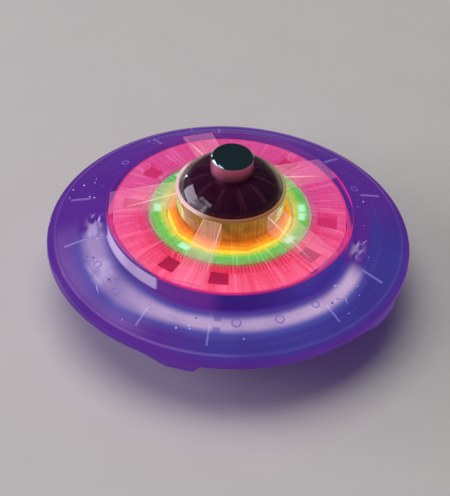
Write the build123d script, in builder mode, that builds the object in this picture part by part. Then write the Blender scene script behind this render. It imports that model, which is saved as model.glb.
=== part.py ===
from build123d import *
import os
from math import cos, radians, sin

# Light-up spinning top: clear shell over four lit rings, spun by the metal knob.
# Origin: the lowest point of the ball tip, on the spin axis. +Z is up. Sizes in millimetres.
# A ring position is an angle about +Z, counted from +X.

os.makedirs("parts", exist_ok=True)

# --- driving dimensions: outer form ---
rim_radius = 40.0
rim_z = 14.0
turret_radius = 27.0
turret_top_z = 22.45
roof_rise_per_mm = 0.11
collar_wall = 1.2
brim_foot = (28.4, 18.3)
brim_middle = (34.0, 16.6)
brim_under_foot = (28.4, 16.9)
brim_under_middle = (33.6, 15.15)
collar_radius = 11.9
collar_top_z = 28.3
bezel_radius = 12.0
bezel_thickness = 0.6
dome_radius = 11.3
dome_top_z = 33.3
knob_radius = 4.6
knob_height = 3.9
shell_wall = 1.35

# --- light rings ---
white_inner_r = 30.0
white_outer_r = 33.6
white_ring_z = 13.6
red_inner_r = 17.8
window_circle = 21.2
window_floor_z = 20.0
green_inner_r = 13.9
green_outer_r = 17.1
green_top_z = 21.7
amber_tube_inner_r = 9.2
amber_tube_outer_r = 10.4
amber_flange_r = 13.3
amber_top_z = 21.9

# --- repeats ---
rib_count = 5
rib_start = -108
post_start = rib_start + 36
window_pair_count = 4
window_pair_start = -110
window_spread = 15.5
petal_count = 10

# --- spin axis ---
ball_radius = 2.0
ball_clearance = 0.05
spindle_radius = 1.5
fit_gap = 0.05
tip_holder_radius = 3.2
tip_mouth_z = 1.25

# --- battery bay ---
cell_radius = 5.8
cell_height = 5.4
cell_circle = 8.3
cell_count = 3
link_circle = 5.0
door_bottom_z = 5.8
door_thickness = 1.2
door_radius = 16.8
plate_thickness = 0.25
plate_gap = 0.05
bay_radius = 14.4
bay_wall = 1.6
bay_roof = 1.2

# --- lamps and board ---
board_radius = 25.0
board_thickness = 1.2
lamp_length = 2.8
lamp_width = 3.2
lamp_height = 1.1
lens_radius = 1.05
lens_height = 0.5
deck_radius = 25.3
deck_thickness = 1.0
deck_gap = 2.0

# --- fasteners ---
post_circle = 27.6
post_radius = 1.9
post_height = 5.5
post_bore_depth = 4.3
boss_radius = 2.35
boss_foot_z = 9.59
boss_top_z = 11.8
head_radius = 1.75
head_height = 1.0
head_seat_z = 10.6
shell_screw_length = 5.0
screw_radius = 1.0
door_screw_circle = 14.9
door_screw_radius = 0.75
door_screw_length = 4.6
door_screw_head_radius = 1.3
door_screw_head_height = 0.8

# --- heights that follow from the stack ---
seat_z = door_bottom_z + door_thickness
cell_z = seat_z + plate_thickness + plate_gap
cell_top_z = cell_z + cell_height
bay_roof_z = cell_top_z + plate_thickness + plate_gap
board_z = bay_roof_z + bay_roof
board_top_z = board_z + board_thickness
deck_z = board_top_z + deck_gap
ring_z = deck_z + deck_thickness
bezel_top_z = collar_top_z + bezel_thickness


def roof_z(radius):
    """Height of the roof's outer face at a radius."""
    return turret_top_z + (turret_radius - radius) * roof_rise_per_mm


def ring_plane(radius, angle, height):
    """Plane standing level at a ring position, with its x axis pointing outwards."""
    outward = (cos(radians(angle)), sin(radians(angle)), 0)
    return Plane(origin=(radius * outward[0], radius * outward[1], height), x_dir=outward, z_dir=(0, 0, 1))


def radial_plane(radius, angle, height):
    """Upright plane at a ring position that faces outwards, with its x axis level."""
    outward = (cos(radians(angle)), sin(radians(angle)), 0)
    along = (-outward[1], outward[0], 0)
    return Plane(origin=(radius * outward[0], radius * outward[1], height), x_dir=along, z_dir=outward)


def save(part, label):
    """Label a finished piece and write its STEP file."""
    part.label = label
    export_step(part, f"parts/{label}.step")


# ---------------------------------------------------------------- top shell
rib_foot_r = collar_radius - 0.5
rib_foot_width = 4.2
rib_foot_low_z = 23.4
rib_foot_high_z = 27.8
rib_toe_r = turret_radius - 0.6
rib_toe_width = 6.8
rib_toe_low_z = 21.6
rib_toe_high_z = 22.7
rib_lip = 0.7
rib_channel_depth = 0.55
rib_channel_inset = 1.2


def section(radius, width, low, high):
    """Draw an upright rectangle across the rib at a radius."""
    with BuildSketch(Plane.YZ.offset(radius)) as drawn:
        with Locations((0, (low + high) / 2)):
            Rectangle(width, high - low)
    return drawn.sketch


def rib_top_z(radius):
    """Height of the rib's ramp at a radius."""
    along = (radius - rib_foot_r) / (rib_toe_r - rib_foot_r)
    return rib_foot_high_z + (rib_toe_high_z - rib_foot_high_z) * along


# One buttress rib: a ramp from the collar's top down to the roof's edge, wider outwards,
# with a shallow channel between two lips.
channel_start_r = rib_foot_r + rib_channel_inset
channel_end_r = rib_toe_r - rib_channel_inset
channel_foot = rib_foot_width - 2 * rib_lip
channel_toe = rib_toe_width - 2 * rib_lip
with BuildPart() as rib:
    loft(
        [
            section(rib_foot_r, rib_foot_width, rib_foot_low_z, rib_foot_high_z),
            section(rib_toe_r, rib_toe_width, rib_toe_low_z, rib_toe_high_z),
        ],
        ruled=True,
    )
    loft(
        [
            section(
                channel_start_r,
                channel_foot,
                rib_top_z(channel_start_r) - rib_channel_depth,
                rib_foot_high_z + 1,
            ),
            section(channel_end_r, channel_toe, rib_top_z(channel_end_r) - 0.35, rib_toe_high_z + 1),
        ],
        ruled=True,
        mode=Mode.SUBTRACT,
    )

lug_inner_r = 38.45
lug_half_angle = 12
lug_height = 3.0

# The gap between two rim lugs, cut out of a full skirt.
with BuildPart() as skirt_gap:
    with BuildSketch(Plane.XY.offset(rim_z - lug_height - 1)):
        Circle(rim_radius + 1)
        Circle(lug_inner_r - 1, mode=Mode.SUBTRACT)
        with BuildLine():
            gap_half_angle = 180 / rib_count - lug_half_angle
            reach = 2 * rim_radius
            dy = reach * sin(radians(gap_half_angle))
            dx = reach * cos(radians(gap_half_angle))
            Polyline((0, 0), (dx, -dy), (dx, dy), close=True)
        make_face(mode=Mode.INTERSECT)
    extrude(amount=lug_height - 0.1)

with BuildPart() as top_shell:
    with BuildSketch(Plane.XZ):
        with BuildLine():
            FilletPolyline(
                (collar_radius - collar_wall, collar_top_z),
                (collar_radius, collar_top_z),
                (collar_radius, roof_z(collar_radius)),
                (turret_radius, turret_top_z),
                (turret_radius, brim_foot[1] + 0.2),
                brim_foot,
                radius=[0.2, 0.6, 0.35, 0.5],
            )
            ThreePointArc(brim_foot, brim_middle, (rim_radius - 0.4, rim_z + 0.3))
            ThreePointArc(
                (rim_radius - 0.4, rim_z + 0.3),
                (rim_radius - 0.1, rim_z + 0.05),
                (rim_radius, rim_z - 0.3),
            )
            Polyline(
                (rim_radius, rim_z - 0.3),
                (rim_radius, rim_z - lug_height),
                (lug_inner_r, rim_z - lug_height),
                (lug_inner_r, rim_z - 0.9),
            )
            ThreePointArc((lug_inner_r, rim_z - 0.9), brim_under_middle, brim_under_foot)
            Polyline(
                brim_under_foot,
                (turret_radius - shell_wall, brim_under_foot[1] + 0.2),
                (turret_radius - shell_wall, roof_z(turret_radius - shell_wall) - shell_wall),
                (collar_radius - collar_wall, roof_z(collar_radius - collar_wall) - shell_wall),
                (collar_radius - collar_wall, collar_top_z),
            )
        make_face()
    revolve(axis=Axis.Z)
    with PolarLocations(0, rib_count, start_angle=rib_start):
        add(rib.part)
    with PolarLocations(0, rib_count, start_angle=post_start):
        add(skirt_gap.part, mode=Mode.SUBTRACT)
    with BuildSketch(Plane.XY.offset(boss_top_z)):
        with PolarLocations(post_circle, rib_count, start_angle=post_start):
            Circle(post_radius)
    extrude(amount=post_height)
    with BuildSketch(Plane.XY.offset(boss_top_z)):
        with PolarLocations(post_circle, rib_count, start_angle=post_start):
            Circle(screw_radius + fit_gap)
    extrude(amount=post_bore_depth, mode=Mode.SUBTRACT)
save(top_shell.part, "top_shell")

# ------------------------------------------------------------- bottom shell
tray_radius = lug_inner_r - 0.15
tray_top_z = rim_z - 1.15
tray_floor_z = 8.25
peg_circle = 31.8
peg_foot_z = 11.0
pillar_radius = 1.9
slot_radius = bay_radius - 0.16
with BuildPart() as bottom_shell:
    with BuildSketch(Plane.XZ):
        with BuildLine():
            Polyline(
                (spindle_radius + fit_gap, seat_z),
                (2.3, seat_z),
                (2.3, bay_roof_z),
                (bay_radius, bay_roof_z),
                (bay_radius, seat_z),
                (door_radius + 0.3, seat_z),
                (door_radius + 0.3, door_bottom_z),
                (door_radius + 1.0, door_bottom_z),
                (tray_radius, 12.2),
                (tray_radius, tray_top_z),
                (35.5, tray_top_z),
                (20.8, tray_floor_z),
                (bay_radius + bay_wall, tray_floor_z),
                (bay_radius + bay_wall, board_z),
                (spindle_radius + fit_gap, board_z),
                close=True,
            )
        make_face()
    revolve(axis=Axis.Z)
    # screw bosses, pegs for the outer light ring, and pillars for the door screws
    with BuildSketch(Plane.XY.offset(boss_foot_z)):
        with PolarLocations(post_circle, rib_count, start_angle=post_start):
            Circle(boss_radius)
    extrude(amount=boss_top_z - boss_foot_z)
    with BuildSketch(Plane.XY.offset(peg_foot_z)):
        with PolarLocations(peg_circle, rib_count, start_angle=rib_start):
            Circle(1.3)
    extrude(amount=white_ring_z - peg_foot_z)
    with BuildSketch(Plane.XY.offset(seat_z)):
        with PolarLocations(door_screw_circle, cell_count, start_angle=60):
            Circle(pillar_radius)
    extrude(amount=bay_roof_z - seat_z)
    # holes for the shell screws, from below
    with BuildSketch(Plane.XY.offset(seat_z)):
        with PolarLocations(post_circle, rib_count, start_angle=post_start):
            Circle(head_radius + 0.15)
    extrude(amount=head_seat_z - seat_z, mode=Mode.SUBTRACT)
    with BuildSketch(Plane.XY.offset(head_seat_z)):
        with PolarLocations(post_circle, rib_count, start_angle=post_start):
            Circle(screw_radius + 2 * fit_gap)
    extrude(amount=boss_top_z - head_seat_z, mode=Mode.SUBTRACT)
    with BuildSketch(Plane.XY.offset(seat_z)):
        with PolarLocations(door_screw_circle, cell_count, start_angle=60):
            Circle(door_screw_radius + fit_gap)
    extrude(amount=door_screw_length, mode=Mode.SUBTRACT)
    # two slots that let the battery contacts' tails up to the board
    for slot_angle in (0, 240):
        with BuildSketch(ring_plane(slot_radius, slot_angle, bay_roof_z)):
            Rectangle(0.4, 2.4)
        extrude(amount=bay_roof, mode=Mode.SUBTRACT)
save(bottom_shell.part, "bottom_shell")

# ------------------------------------------------------- dome, bezel, knob
dome_wall = 1.1
with BuildPart() as dome_cover:
    with BuildSketch(Plane.XZ):
        with BuildLine():
            Polyline(
                (dome_radius - dome_wall - 0.1, bezel_top_z),
                (dome_radius, bezel_top_z),
            )
            ThreePointArc((dome_radius, bezel_top_z), (8.6, 31.95), (knob_radius, dome_top_z))
            Polyline(
                (knob_radius, dome_top_z),
                (spindle_radius + fit_gap, dome_top_z),
                (spindle_radius + fit_gap, dome_top_z - dome_wall),
                (knob_radius - 0.3, dome_top_z - dome_wall),
            )
            ThreePointArc(
                (knob_radius - 0.3, dome_top_z - dome_wall),
                (7.8, 31.05),
                (dome_radius - dome_wall - 0.1, bezel_top_z),
            )
        make_face()
    revolve(axis=Axis.Z)
save(dome_cover.part, "dome_cover")

petal_wall = 0.5
petal_top_z = dome_top_z - dome_wall - 0.3
petal_foot_r = 9.6
with BuildPart() as dome_petals:
    with BuildSketch(Plane.XZ):
        with BuildLine():
            ThreePointArc((petal_foot_r, bezel_top_z), (7.45, 30.75), (4.0, petal_top_z))
            Polyline(
                (4.0, petal_top_z),
                (spindle_radius + fit_gap, petal_top_z),
                (spindle_radius + fit_gap, petal_top_z - petal_wall),
                (3.8, petal_top_z - petal_wall),
            )
            ThreePointArc(
                (3.8, petal_top_z - petal_wall),
                (7.05, 30.35),
                (petal_foot_r - petal_wall, bezel_top_z),
            )
            Line((petal_foot_r - petal_wall, bezel_top_z), (petal_foot_r, bezel_top_z))
        make_face()
    revolve(axis=Axis.Z)
    with BuildSketch(Plane.XY.offset(bezel_top_z - 0.1)):
        with PolarLocations(7.6, petal_count, start_angle=rib_start):
            Rectangle(4.6, 0.8)
    extrude(amount=4.0, mode=Mode.SUBTRACT)
save(dome_petals.part, "dome_petals")

bezel_inner_r = 8.9
with BuildPart() as dome_bezel:
    with BuildSketch(Plane.XZ):
        with BuildLine():
            FilletPolyline(
                (bezel_inner_r, collar_top_z),
                (bezel_radius, collar_top_z),
                (bezel_radius, bezel_top_z),
                (bezel_inner_r, bezel_top_z),
                radius=[0.15, 0.25],
            )
            Line((bezel_inner_r, bezel_top_z), (bezel_inner_r, collar_top_z))
        make_face()
    revolve(axis=Axis.Z)
save(dome_bezel.part, "dome_bezel")

spindle_top_z = dome_top_z + 2.7
with BuildPart() as top_knob:
    with BuildSketch(Plane.XY.offset(dome_top_z)):
        Circle(knob_radius)
    extrude(amount=knob_height)
    chamfer(top_knob.edges().group_by(Axis.Z)[-1], 0.3)
    with BuildSketch(Plane.XY.offset(dome_top_z)):
        Circle(spindle_radius + fit_gap)
    extrude(amount=spindle_top_z - dome_top_z, mode=Mode.SUBTRACT)
save(top_knob.part, "top_knob")

# -------------------------------------------------- spindle and its fasteners
spindle_foot_z = 4.7
with BuildPart() as spindle:
    with BuildSketch(Plane.XY.offset(spindle_foot_z)):
        Circle(spindle_radius)
    extrude(amount=spindle_top_z - spindle_foot_z)
    chamfer(spindle.edges().filter_by(GeomType.CIRCLE), 0.25)
save(spindle.part, "spindle")

washer_top_z = board_z + 0.4
with BuildPart() as spindle_washer:
    with BuildSketch(Plane.XY.offset(board_z)):
        Circle(2.7)
        Circle(spindle_radius + fit_gap, mode=Mode.SUBTRACT)
    extrude(amount=washer_top_z - board_z)
save(spindle_washer.part, "spindle_washer")

with BuildPart() as spindle_nut:
    with BuildSketch(Plane.XY.offset(washer_top_z)):
        RegularPolygon(2.5, 6)
        Circle(spindle_radius + fit_gap, mode=Mode.SUBTRACT)
    extrude(amount=1.6)
save(spindle_nut.part, "spindle_nut")

# ------------------------------------------------------------------ ball tip
with BuildPart() as tip_holder:
    with BuildSketch(Plane.XZ):
        with BuildLine():
            Polyline(
                (0, tip_mouth_z),
                (2.5, tip_mouth_z),
                (tip_holder_radius, 2.7),
                (tip_holder_radius, seat_z),
                (0, seat_z),
                close=True,
            )
        make_face()
    revolve(axis=Axis.Z)
    with BuildSketch(Plane.XY.offset(spindle_foot_z)):
        Circle(spindle_radius + fit_gap)
    extrude(amount=seat_z - spindle_foot_z, mode=Mode.SUBTRACT)
    with Locations((0, 0, ball_radius)):
        Sphere(ball_radius + ball_clearance, mode=Mode.SUBTRACT)
save(tip_holder.part, "tip_holder")

with BuildPart() as tip_ball:
    with Locations((0, 0, ball_radius)):
        Sphere(ball_radius)
save(tip_ball.part, "tip_ball")

# --------------------------------------------------------------- light rings
with BuildPart() as white_light_ring:
    with BuildSketch(Plane.XZ):
        with BuildLine():
            Polyline(
                (white_inner_r, white_ring_z),
                (white_outer_r, white_ring_z),
                (white_outer_r, 14.95),
                (white_inner_r, 16.2),
                close=True,
            )
        make_face()
    revolve(axis=Axis.Z)
save(white_light_ring.part, "white_light_ring")

with BuildPart() as red_light_ring:
    with BuildSketch(Plane.XZ):
        with BuildLine():
            Polyline(
                (red_inner_r, ring_z),
                (deck_radius, ring_z),
                (deck_radius, roof_z(deck_radius) - shell_wall - 0.3),
                (red_inner_r, roof_z(red_inner_r) - shell_wall - 0.3),
                close=True,
            )
        make_face()
    revolve(axis=Axis.Z)
    for spread in (-window_spread, window_spread):
        with BuildSketch(Plane.XY.offset(window_floor_z)):
            with PolarLocations(window_circle, window_pair_count, start_angle=window_pair_start + spread):
                RectangleRounded(4.6, 4.4, 0.4)
        extrude(amount=3.0, mode=Mode.SUBTRACT)
save(red_light_ring.part, "red_light_ring")

with BuildPart() as green_light_ring:
    with BuildSketch(Plane.XZ):
        with BuildLine():
            FilletPolyline(
                (green_inner_r, ring_z),
                (green_inner_r, green_top_z),
                (green_outer_r, green_top_z),
                (green_outer_r, ring_z),
                radius=[0.3, 0.3],
            )
            Line((green_outer_r, ring_z), (green_inner_r, ring_z))
        make_face()
    revolve(axis=Axis.Z)
save(green_light_ring.part, "green_light_ring")

# The amber ring has a ten-sided flange and a tube that lights the collar from inside.
with BuildPart() as amber_light_ring:
    with BuildSketch(Plane.XY.offset(ring_z)):
        RegularPolygon(amber_flange_r, 10, rotation=rib_start)
        Circle(amber_tube_inner_r, mode=Mode.SUBTRACT)
    extrude(amount=amber_top_z - ring_z)
    with BuildSketch(Plane.XY.offset(ring_z)):
        Circle(amber_tube_outer_r)
        Circle(amber_tube_inner_r, mode=Mode.SUBTRACT)
    extrude(amount=collar_top_z - 0.4 - ring_z)
save(amber_light_ring.part, "amber_light_ring")

# ------------------------------------------------------- reflector and board
red_lamps = [(21.5, window_pair_start + 90 * i) for i in range(4)]
green_lamps = [(15.5, 10 + 120 * i) for i in range(3)]
amber_lamps = [(11.6, 100 + 180 * i) for i in range(2)]
white_lamps = [(23.0, 60 + 120 * i) for i in range(3)]

with BuildPart() as reflector_deck:
    with BuildSketch(Plane.XY.offset(deck_z)):
        Circle(deck_radius)
        Circle(3.4, mode=Mode.SUBTRACT)
        for lamp_r, lamp_angle in red_lamps + green_lamps + amber_lamps:
            with PolarLocations(lamp_r, 1, start_angle=lamp_angle):
                Circle(1.3, mode=Mode.SUBTRACT)
    extrude(amount=deck_thickness)
    with BuildSketch(Plane.XY.offset(ring_z)):
        Circle(green_outer_r + 0.5)
        Circle(green_outer_r + 0.1, mode=Mode.SUBTRACT)
        Circle(green_inner_r - 0.1)
        Circle(green_inner_r - 0.45, mode=Mode.SUBTRACT)
    extrude(amount=2.6)
    with BuildSketch(Plane.XY.offset(board_top_z)):
        with PolarLocations(18.3, rib_count, start_angle=-45):
            Circle(1.2)
    extrude(amount=deck_gap)
save(reflector_deck.part, "reflector_deck")

with BuildPart() as circuit_board:
    with BuildSketch(Plane.XY.offset(board_z)):
        Circle(board_radius)
        Circle(3.0, mode=Mode.SUBTRACT)
        with PolarLocations(board_radius, 2, start_angle=33):
            Circle(1.2, mode=Mode.SUBTRACT)
    extrude(amount=board_thickness)
save(circuit_board.part, "circuit_board")


def make_top_lamp(radius, angle, label):
    """Write one lamp on the board that shines upwards."""
    seat = ring_plane(radius, angle, board_top_z)
    with BuildPart() as lamp:
        with BuildSketch(seat):
            RectangleRounded(lamp_length, lamp_width, 0.25)
        extrude(amount=lamp_height)
        with BuildSketch(seat.offset(lamp_height)):
            Circle(lens_radius)
        extrude(amount=lens_height, taper=25)
    save(lamp.part, label)


def make_side_lamp(radius, angle, label):
    """Write one lamp near the board's edge that shines outwards under the brim."""
    with BuildPart() as lamp:
        with BuildSketch(ring_plane(radius, angle, board_top_z)):
            Rectangle(1.6, lamp_width)
        extrude(amount=1.5)
        with BuildSketch(radial_plane(radius + 0.8, angle, board_top_z + 0.75)):
            RectangleRounded(2.4, 1.1, 0.25)
        extrude(amount=0.4, taper=15)
    save(lamp.part, label)


for lamps, colour in ((red_lamps, "red"), (green_lamps, "green"), (amber_lamps, "amber")):
    for number, (lamp_r, lamp_angle) in enumerate(lamps, start=1):
        make_top_lamp(lamp_r, lamp_angle, f"{colour}_led_{number}")
for number, (lamp_r, lamp_angle) in enumerate(white_lamps, start=1):
    make_side_lamp(lamp_r, lamp_angle, f"white_led_{number}")

chip_seat = ring_plane(8.4, 200, board_top_z)
with BuildPart() as driver_chip:
    with BuildSketch(chip_seat.offset(0.2)):
        Rectangle(4.0, 5.0)
    extrude(amount=1.2)
    with BuildSketch(chip_seat):
        with GridLocations(5.0, 1.27, 2, 4):
            Rectangle(1.0, 0.42)
    extrude(amount=0.5)
save(driver_chip.part, "driver_chip")


def make_chip_part(angle, height, label):
    """Write one small two-ended board part: a body between two raised end caps."""
    seat = ring_plane(8.4, angle, board_top_z)
    with BuildPart() as chip_part:
        with BuildSketch(seat):
            Rectangle(1.6, 2.4)
        extrude(amount=height)
        with BuildSketch(seat):
            with GridLocations(1.0, 2.8, 1, 2):
                Rectangle(1.7, 0.5)
        extrude(amount=height + 0.08)
    save(chip_part.part, label)


make_chip_part(150, 0.6, "resistor_1")
make_chip_part(250, 0.6, "resistor_2")
make_chip_part(30, 1.1, "timing_capacitor")

# --------------------------------------------------------------- spin switch
switch_z = 12.2
switch_bore_r = 1.35
weight_radius = switch_bore_r - 0.06
weight_start_x = 17.35
weight_end_x = 20.0
spring_end_x = 23.0
with BuildPart() as switch_housing:
    with BuildSketch(Plane.YZ.offset(16.5)):
        with Locations((0, (10.3 + board_z) / 2)):
            Rectangle(4.4, board_z - 10.3)
    extrude(amount=7.2)
    with BuildSketch(Plane.YZ.offset(weight_start_x - 0.05)):
        with Locations((0, switch_z)):
            Circle(switch_bore_r)
    extrude(amount=7.0, mode=Mode.SUBTRACT)
save(switch_housing.part, "switch_housing")

with BuildPart() as switch_weight:
    with BuildSketch(Plane.YZ.offset(weight_start_x)):
        with Locations((0, switch_z)):
            Circle(weight_radius)
    extrude(amount=weight_end_x - weight_start_x)
    chamfer(switch_weight.edges().filter_by(GeomType.CIRCLE), 0.2)
save(switch_weight.part, "switch_weight")

with BuildPart() as switch_contact:
    with BuildSketch(Plane.YZ.offset(spring_end_x)):
        with Locations((0, switch_z)):
            Circle(switch_bore_r - 0.02)
    extrude(amount=0.7)
    with BuildSketch(Plane.YZ.offset(weight_end_x + 1.6)):
        with Locations((0, switch_z)):
            Circle(0.4)
    extrude(amount=spring_end_x - weight_end_x - 1.6)
save(switch_contact.part, "switch_contact")

spring_wire_r = 0.13
spring_coil_r = 0.95
spring_start_x = weight_end_x + spring_wire_r + 0.02
with BuildPart() as switch_spring:
    with BuildLine() as coil:
        Helix(
            pitch=0.54,
            height=2.7,
            radius=spring_coil_r,
            center=(spring_start_x, 0, switch_z),
            direction=(1, 0, 0),
        )
    with BuildSketch(Plane(origin=coil.line @ 0, z_dir=coil.line % 0)):
        Circle(spring_wire_r)
    sweep(is_frenet=True)
save(switch_spring.part, "switch_spring")

# ------------------------------------------------------------------ batteries
for number in range(1, cell_count + 1):
    with BuildPart() as button_cell:
        cell_place = ring_plane(cell_circle, 120 * (number - 1), cell_z)
        with BuildSketch(cell_place):
            Circle(cell_radius - 0.8)
        extrude(amount=0.4)
        with BuildSketch(cell_place.offset(0.4)):
            Circle(cell_radius)
        extrude(amount=cell_height - 0.4)
        fillet(button_cell.edges().group_by(Axis.Z)[-1], 0.3)
    save(button_cell.part, f"button_cell_{number}")


def make_link_plate(height, first_angle, second_angle, label):
    """Write a thin plate that joins two neighbouring cells."""
    with BuildPart() as plate:
        with BuildSketch(Plane.XY.offset(height)):
            for angle in (first_angle, second_angle):
                with PolarLocations(cell_circle, 1, start_angle=angle):
                    Circle(3.2)
            with PolarLocations(link_circle, 1, start_angle=(first_angle + second_angle) / 2):
                Rectangle(2.4, 14.6)
        extrude(amount=plate_thickness)
    save(plate.part, label)


def make_contact(height, angle, label):
    """Write a disc contact with a tail up the bay's wall to the board."""
    arm_inner_r = cell_circle + 2.2
    tail_half = 0.13
    with BuildPart() as contact:
        with BuildSketch(ring_plane(cell_circle, angle, height)):
            Circle(3.4)
        extrude(amount=plate_thickness)
        with BuildSketch(ring_plane((arm_inner_r + slot_radius + tail_half) / 2, angle, height)):
            Rectangle(slot_radius + tail_half - arm_inner_r, 2.0)
        extrude(amount=plate_thickness)
        with BuildSketch(ring_plane(slot_radius, angle, height)):
            Rectangle(2 * tail_half, 2.0)
        extrude(amount=board_z - height)
    save(contact.part, label)


make_link_plate(cell_top_z, 0, 120, "cell_link")
make_link_plate(seat_z, 120, 240, "door_contact")
make_contact(cell_z - plate_thickness, 0, "negative_contact")
make_contact(cell_top_z, 240, "positive_contact")

# --------------------------------------------------------------- battery door
door_head_z = door_bottom_z + 0.9
with BuildPart() as battery_door:
    with BuildSketch(Plane.XY.offset(door_bottom_z)):
        Circle(door_radius)
        Circle(tip_holder_radius + 0.4, mode=Mode.SUBTRACT)
    extrude(amount=door_thickness)
    chamfer(battery_door.edges().group_by(Axis.Z)[0].sort_by(SortBy.RADIUS)[-1], 0.35)
    with BuildSketch(Plane.XY.offset(door_bottom_z)):
        with PolarLocations(door_screw_circle, cell_count, start_angle=60):
            Circle(door_screw_head_radius + 0.1)
    extrude(amount=door_head_z - door_bottom_z, mode=Mode.SUBTRACT)
    with BuildSketch(Plane.XY.offset(door_head_z)):
        with PolarLocations(door_screw_circle, cell_count, start_angle=60):
            Circle(door_screw_radius + fit_gap)
    extrude(amount=door_thickness, mode=Mode.SUBTRACT)
save(battery_door.part, "battery_door")

with BuildPart() as door_screws:
    with BuildSketch(Plane.XY.offset(door_head_z - door_screw_head_height)):
        with PolarLocations(door_screw_circle, cell_count, start_angle=60):
            Circle(door_screw_head_radius)
    extrude(amount=door_screw_head_height)
    with BuildSketch(Plane.XY.offset(door_head_z)):
        with PolarLocations(door_screw_circle, cell_count, start_angle=60):
            Circle(door_screw_radius)
    extrude(amount=door_screw_length)
    with BuildSketch(Plane.XY.offset(door_head_z - door_screw_head_height)):
        with PolarLocations(door_screw_circle, cell_count, start_angle=60):
            Rectangle(1.6, 0.35)
            Rectangle(0.35, 1.6)
    extrude(amount=0.4, mode=Mode.SUBTRACT)
save(door_screws.part, "door_screws")

with BuildPart() as shell_screws:
    with BuildSketch(Plane.XY.offset(head_seat_z - head_height)):
        with PolarLocations(post_circle, rib_count, start_angle=post_start):
            Circle(head_radius)
    extrude(amount=head_height)
    with BuildSketch(Plane.XY.offset(head_seat_z)):
        with PolarLocations(post_circle, rib_count, start_angle=post_start):
            Circle(screw_radius)
    extrude(amount=shell_screw_length)
    with BuildSketch(Plane.XY.offset(head_seat_z - head_height)):
        with PolarLocations(post_circle, rib_count, start_angle=post_start):
            Rectangle(2.2, 0.45)
            Rectangle(0.45, 2.2)
    extrude(amount=0.5, mode=Mode.SUBTRACT)
save(shell_screws.part, "shell_screws")
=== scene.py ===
import logging
import math
from collections.abc import Sequence
from dataclasses import dataclass
from enum import Enum
from random import Random

import bmesh
import bpy
from mathutils import Matrix, Vector


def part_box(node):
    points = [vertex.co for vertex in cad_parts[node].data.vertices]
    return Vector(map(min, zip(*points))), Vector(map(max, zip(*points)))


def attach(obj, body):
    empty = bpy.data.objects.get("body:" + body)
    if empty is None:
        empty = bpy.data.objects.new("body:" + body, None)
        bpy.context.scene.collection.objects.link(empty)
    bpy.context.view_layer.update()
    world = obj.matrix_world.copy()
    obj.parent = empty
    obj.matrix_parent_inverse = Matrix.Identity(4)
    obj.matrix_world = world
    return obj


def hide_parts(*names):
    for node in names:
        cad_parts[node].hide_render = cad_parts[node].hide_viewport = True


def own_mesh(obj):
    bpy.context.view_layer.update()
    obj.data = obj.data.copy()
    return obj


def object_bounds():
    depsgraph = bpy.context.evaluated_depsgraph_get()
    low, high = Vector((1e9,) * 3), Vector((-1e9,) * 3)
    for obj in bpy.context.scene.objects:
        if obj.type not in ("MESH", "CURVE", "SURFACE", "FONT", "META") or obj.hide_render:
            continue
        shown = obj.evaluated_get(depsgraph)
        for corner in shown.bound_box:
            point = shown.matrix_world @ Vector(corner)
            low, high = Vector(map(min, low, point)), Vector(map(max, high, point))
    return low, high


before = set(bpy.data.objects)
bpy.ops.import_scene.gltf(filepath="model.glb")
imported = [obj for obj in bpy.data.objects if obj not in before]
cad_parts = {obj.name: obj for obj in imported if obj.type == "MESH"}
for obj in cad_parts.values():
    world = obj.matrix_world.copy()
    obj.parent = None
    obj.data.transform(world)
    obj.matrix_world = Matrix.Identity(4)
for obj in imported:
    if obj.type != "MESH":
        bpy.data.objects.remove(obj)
CAD_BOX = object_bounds()
LOG = logging.getLogger("spinning_top")
MM = 0.001
SHARP_ANGLE = math.radians(32)  # edges that turn further than this stay crisp in the shading
MIX_COLOUR_A, MIX_COLOUR_B, MIX_COLOUR_OUT = 6, 7, 2  # places of the colour sockets on a Mix node

Point = tuple[float, float]
Colour = tuple[float, float, float, float]


def srgb(red: float, green: float, blue: float) -> Colour:
    """Turn a display colour into the linear colour that a shader takes.

    Args:
        red: Red, 0 to 255.
        green: Green, 0 to 255.
        blue: Blue, 0 to 255.

    Returns:
        The linear colour, with an alpha of 1.
    """
    linear = []
    for part in (red, green, blue):
        share = part / 255
        linear.append(share / 12.92 if share <= 0.04045 else ((share + 0.055) / 1.055) ** 2.4)
    return (*linear, 1.0)


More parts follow.
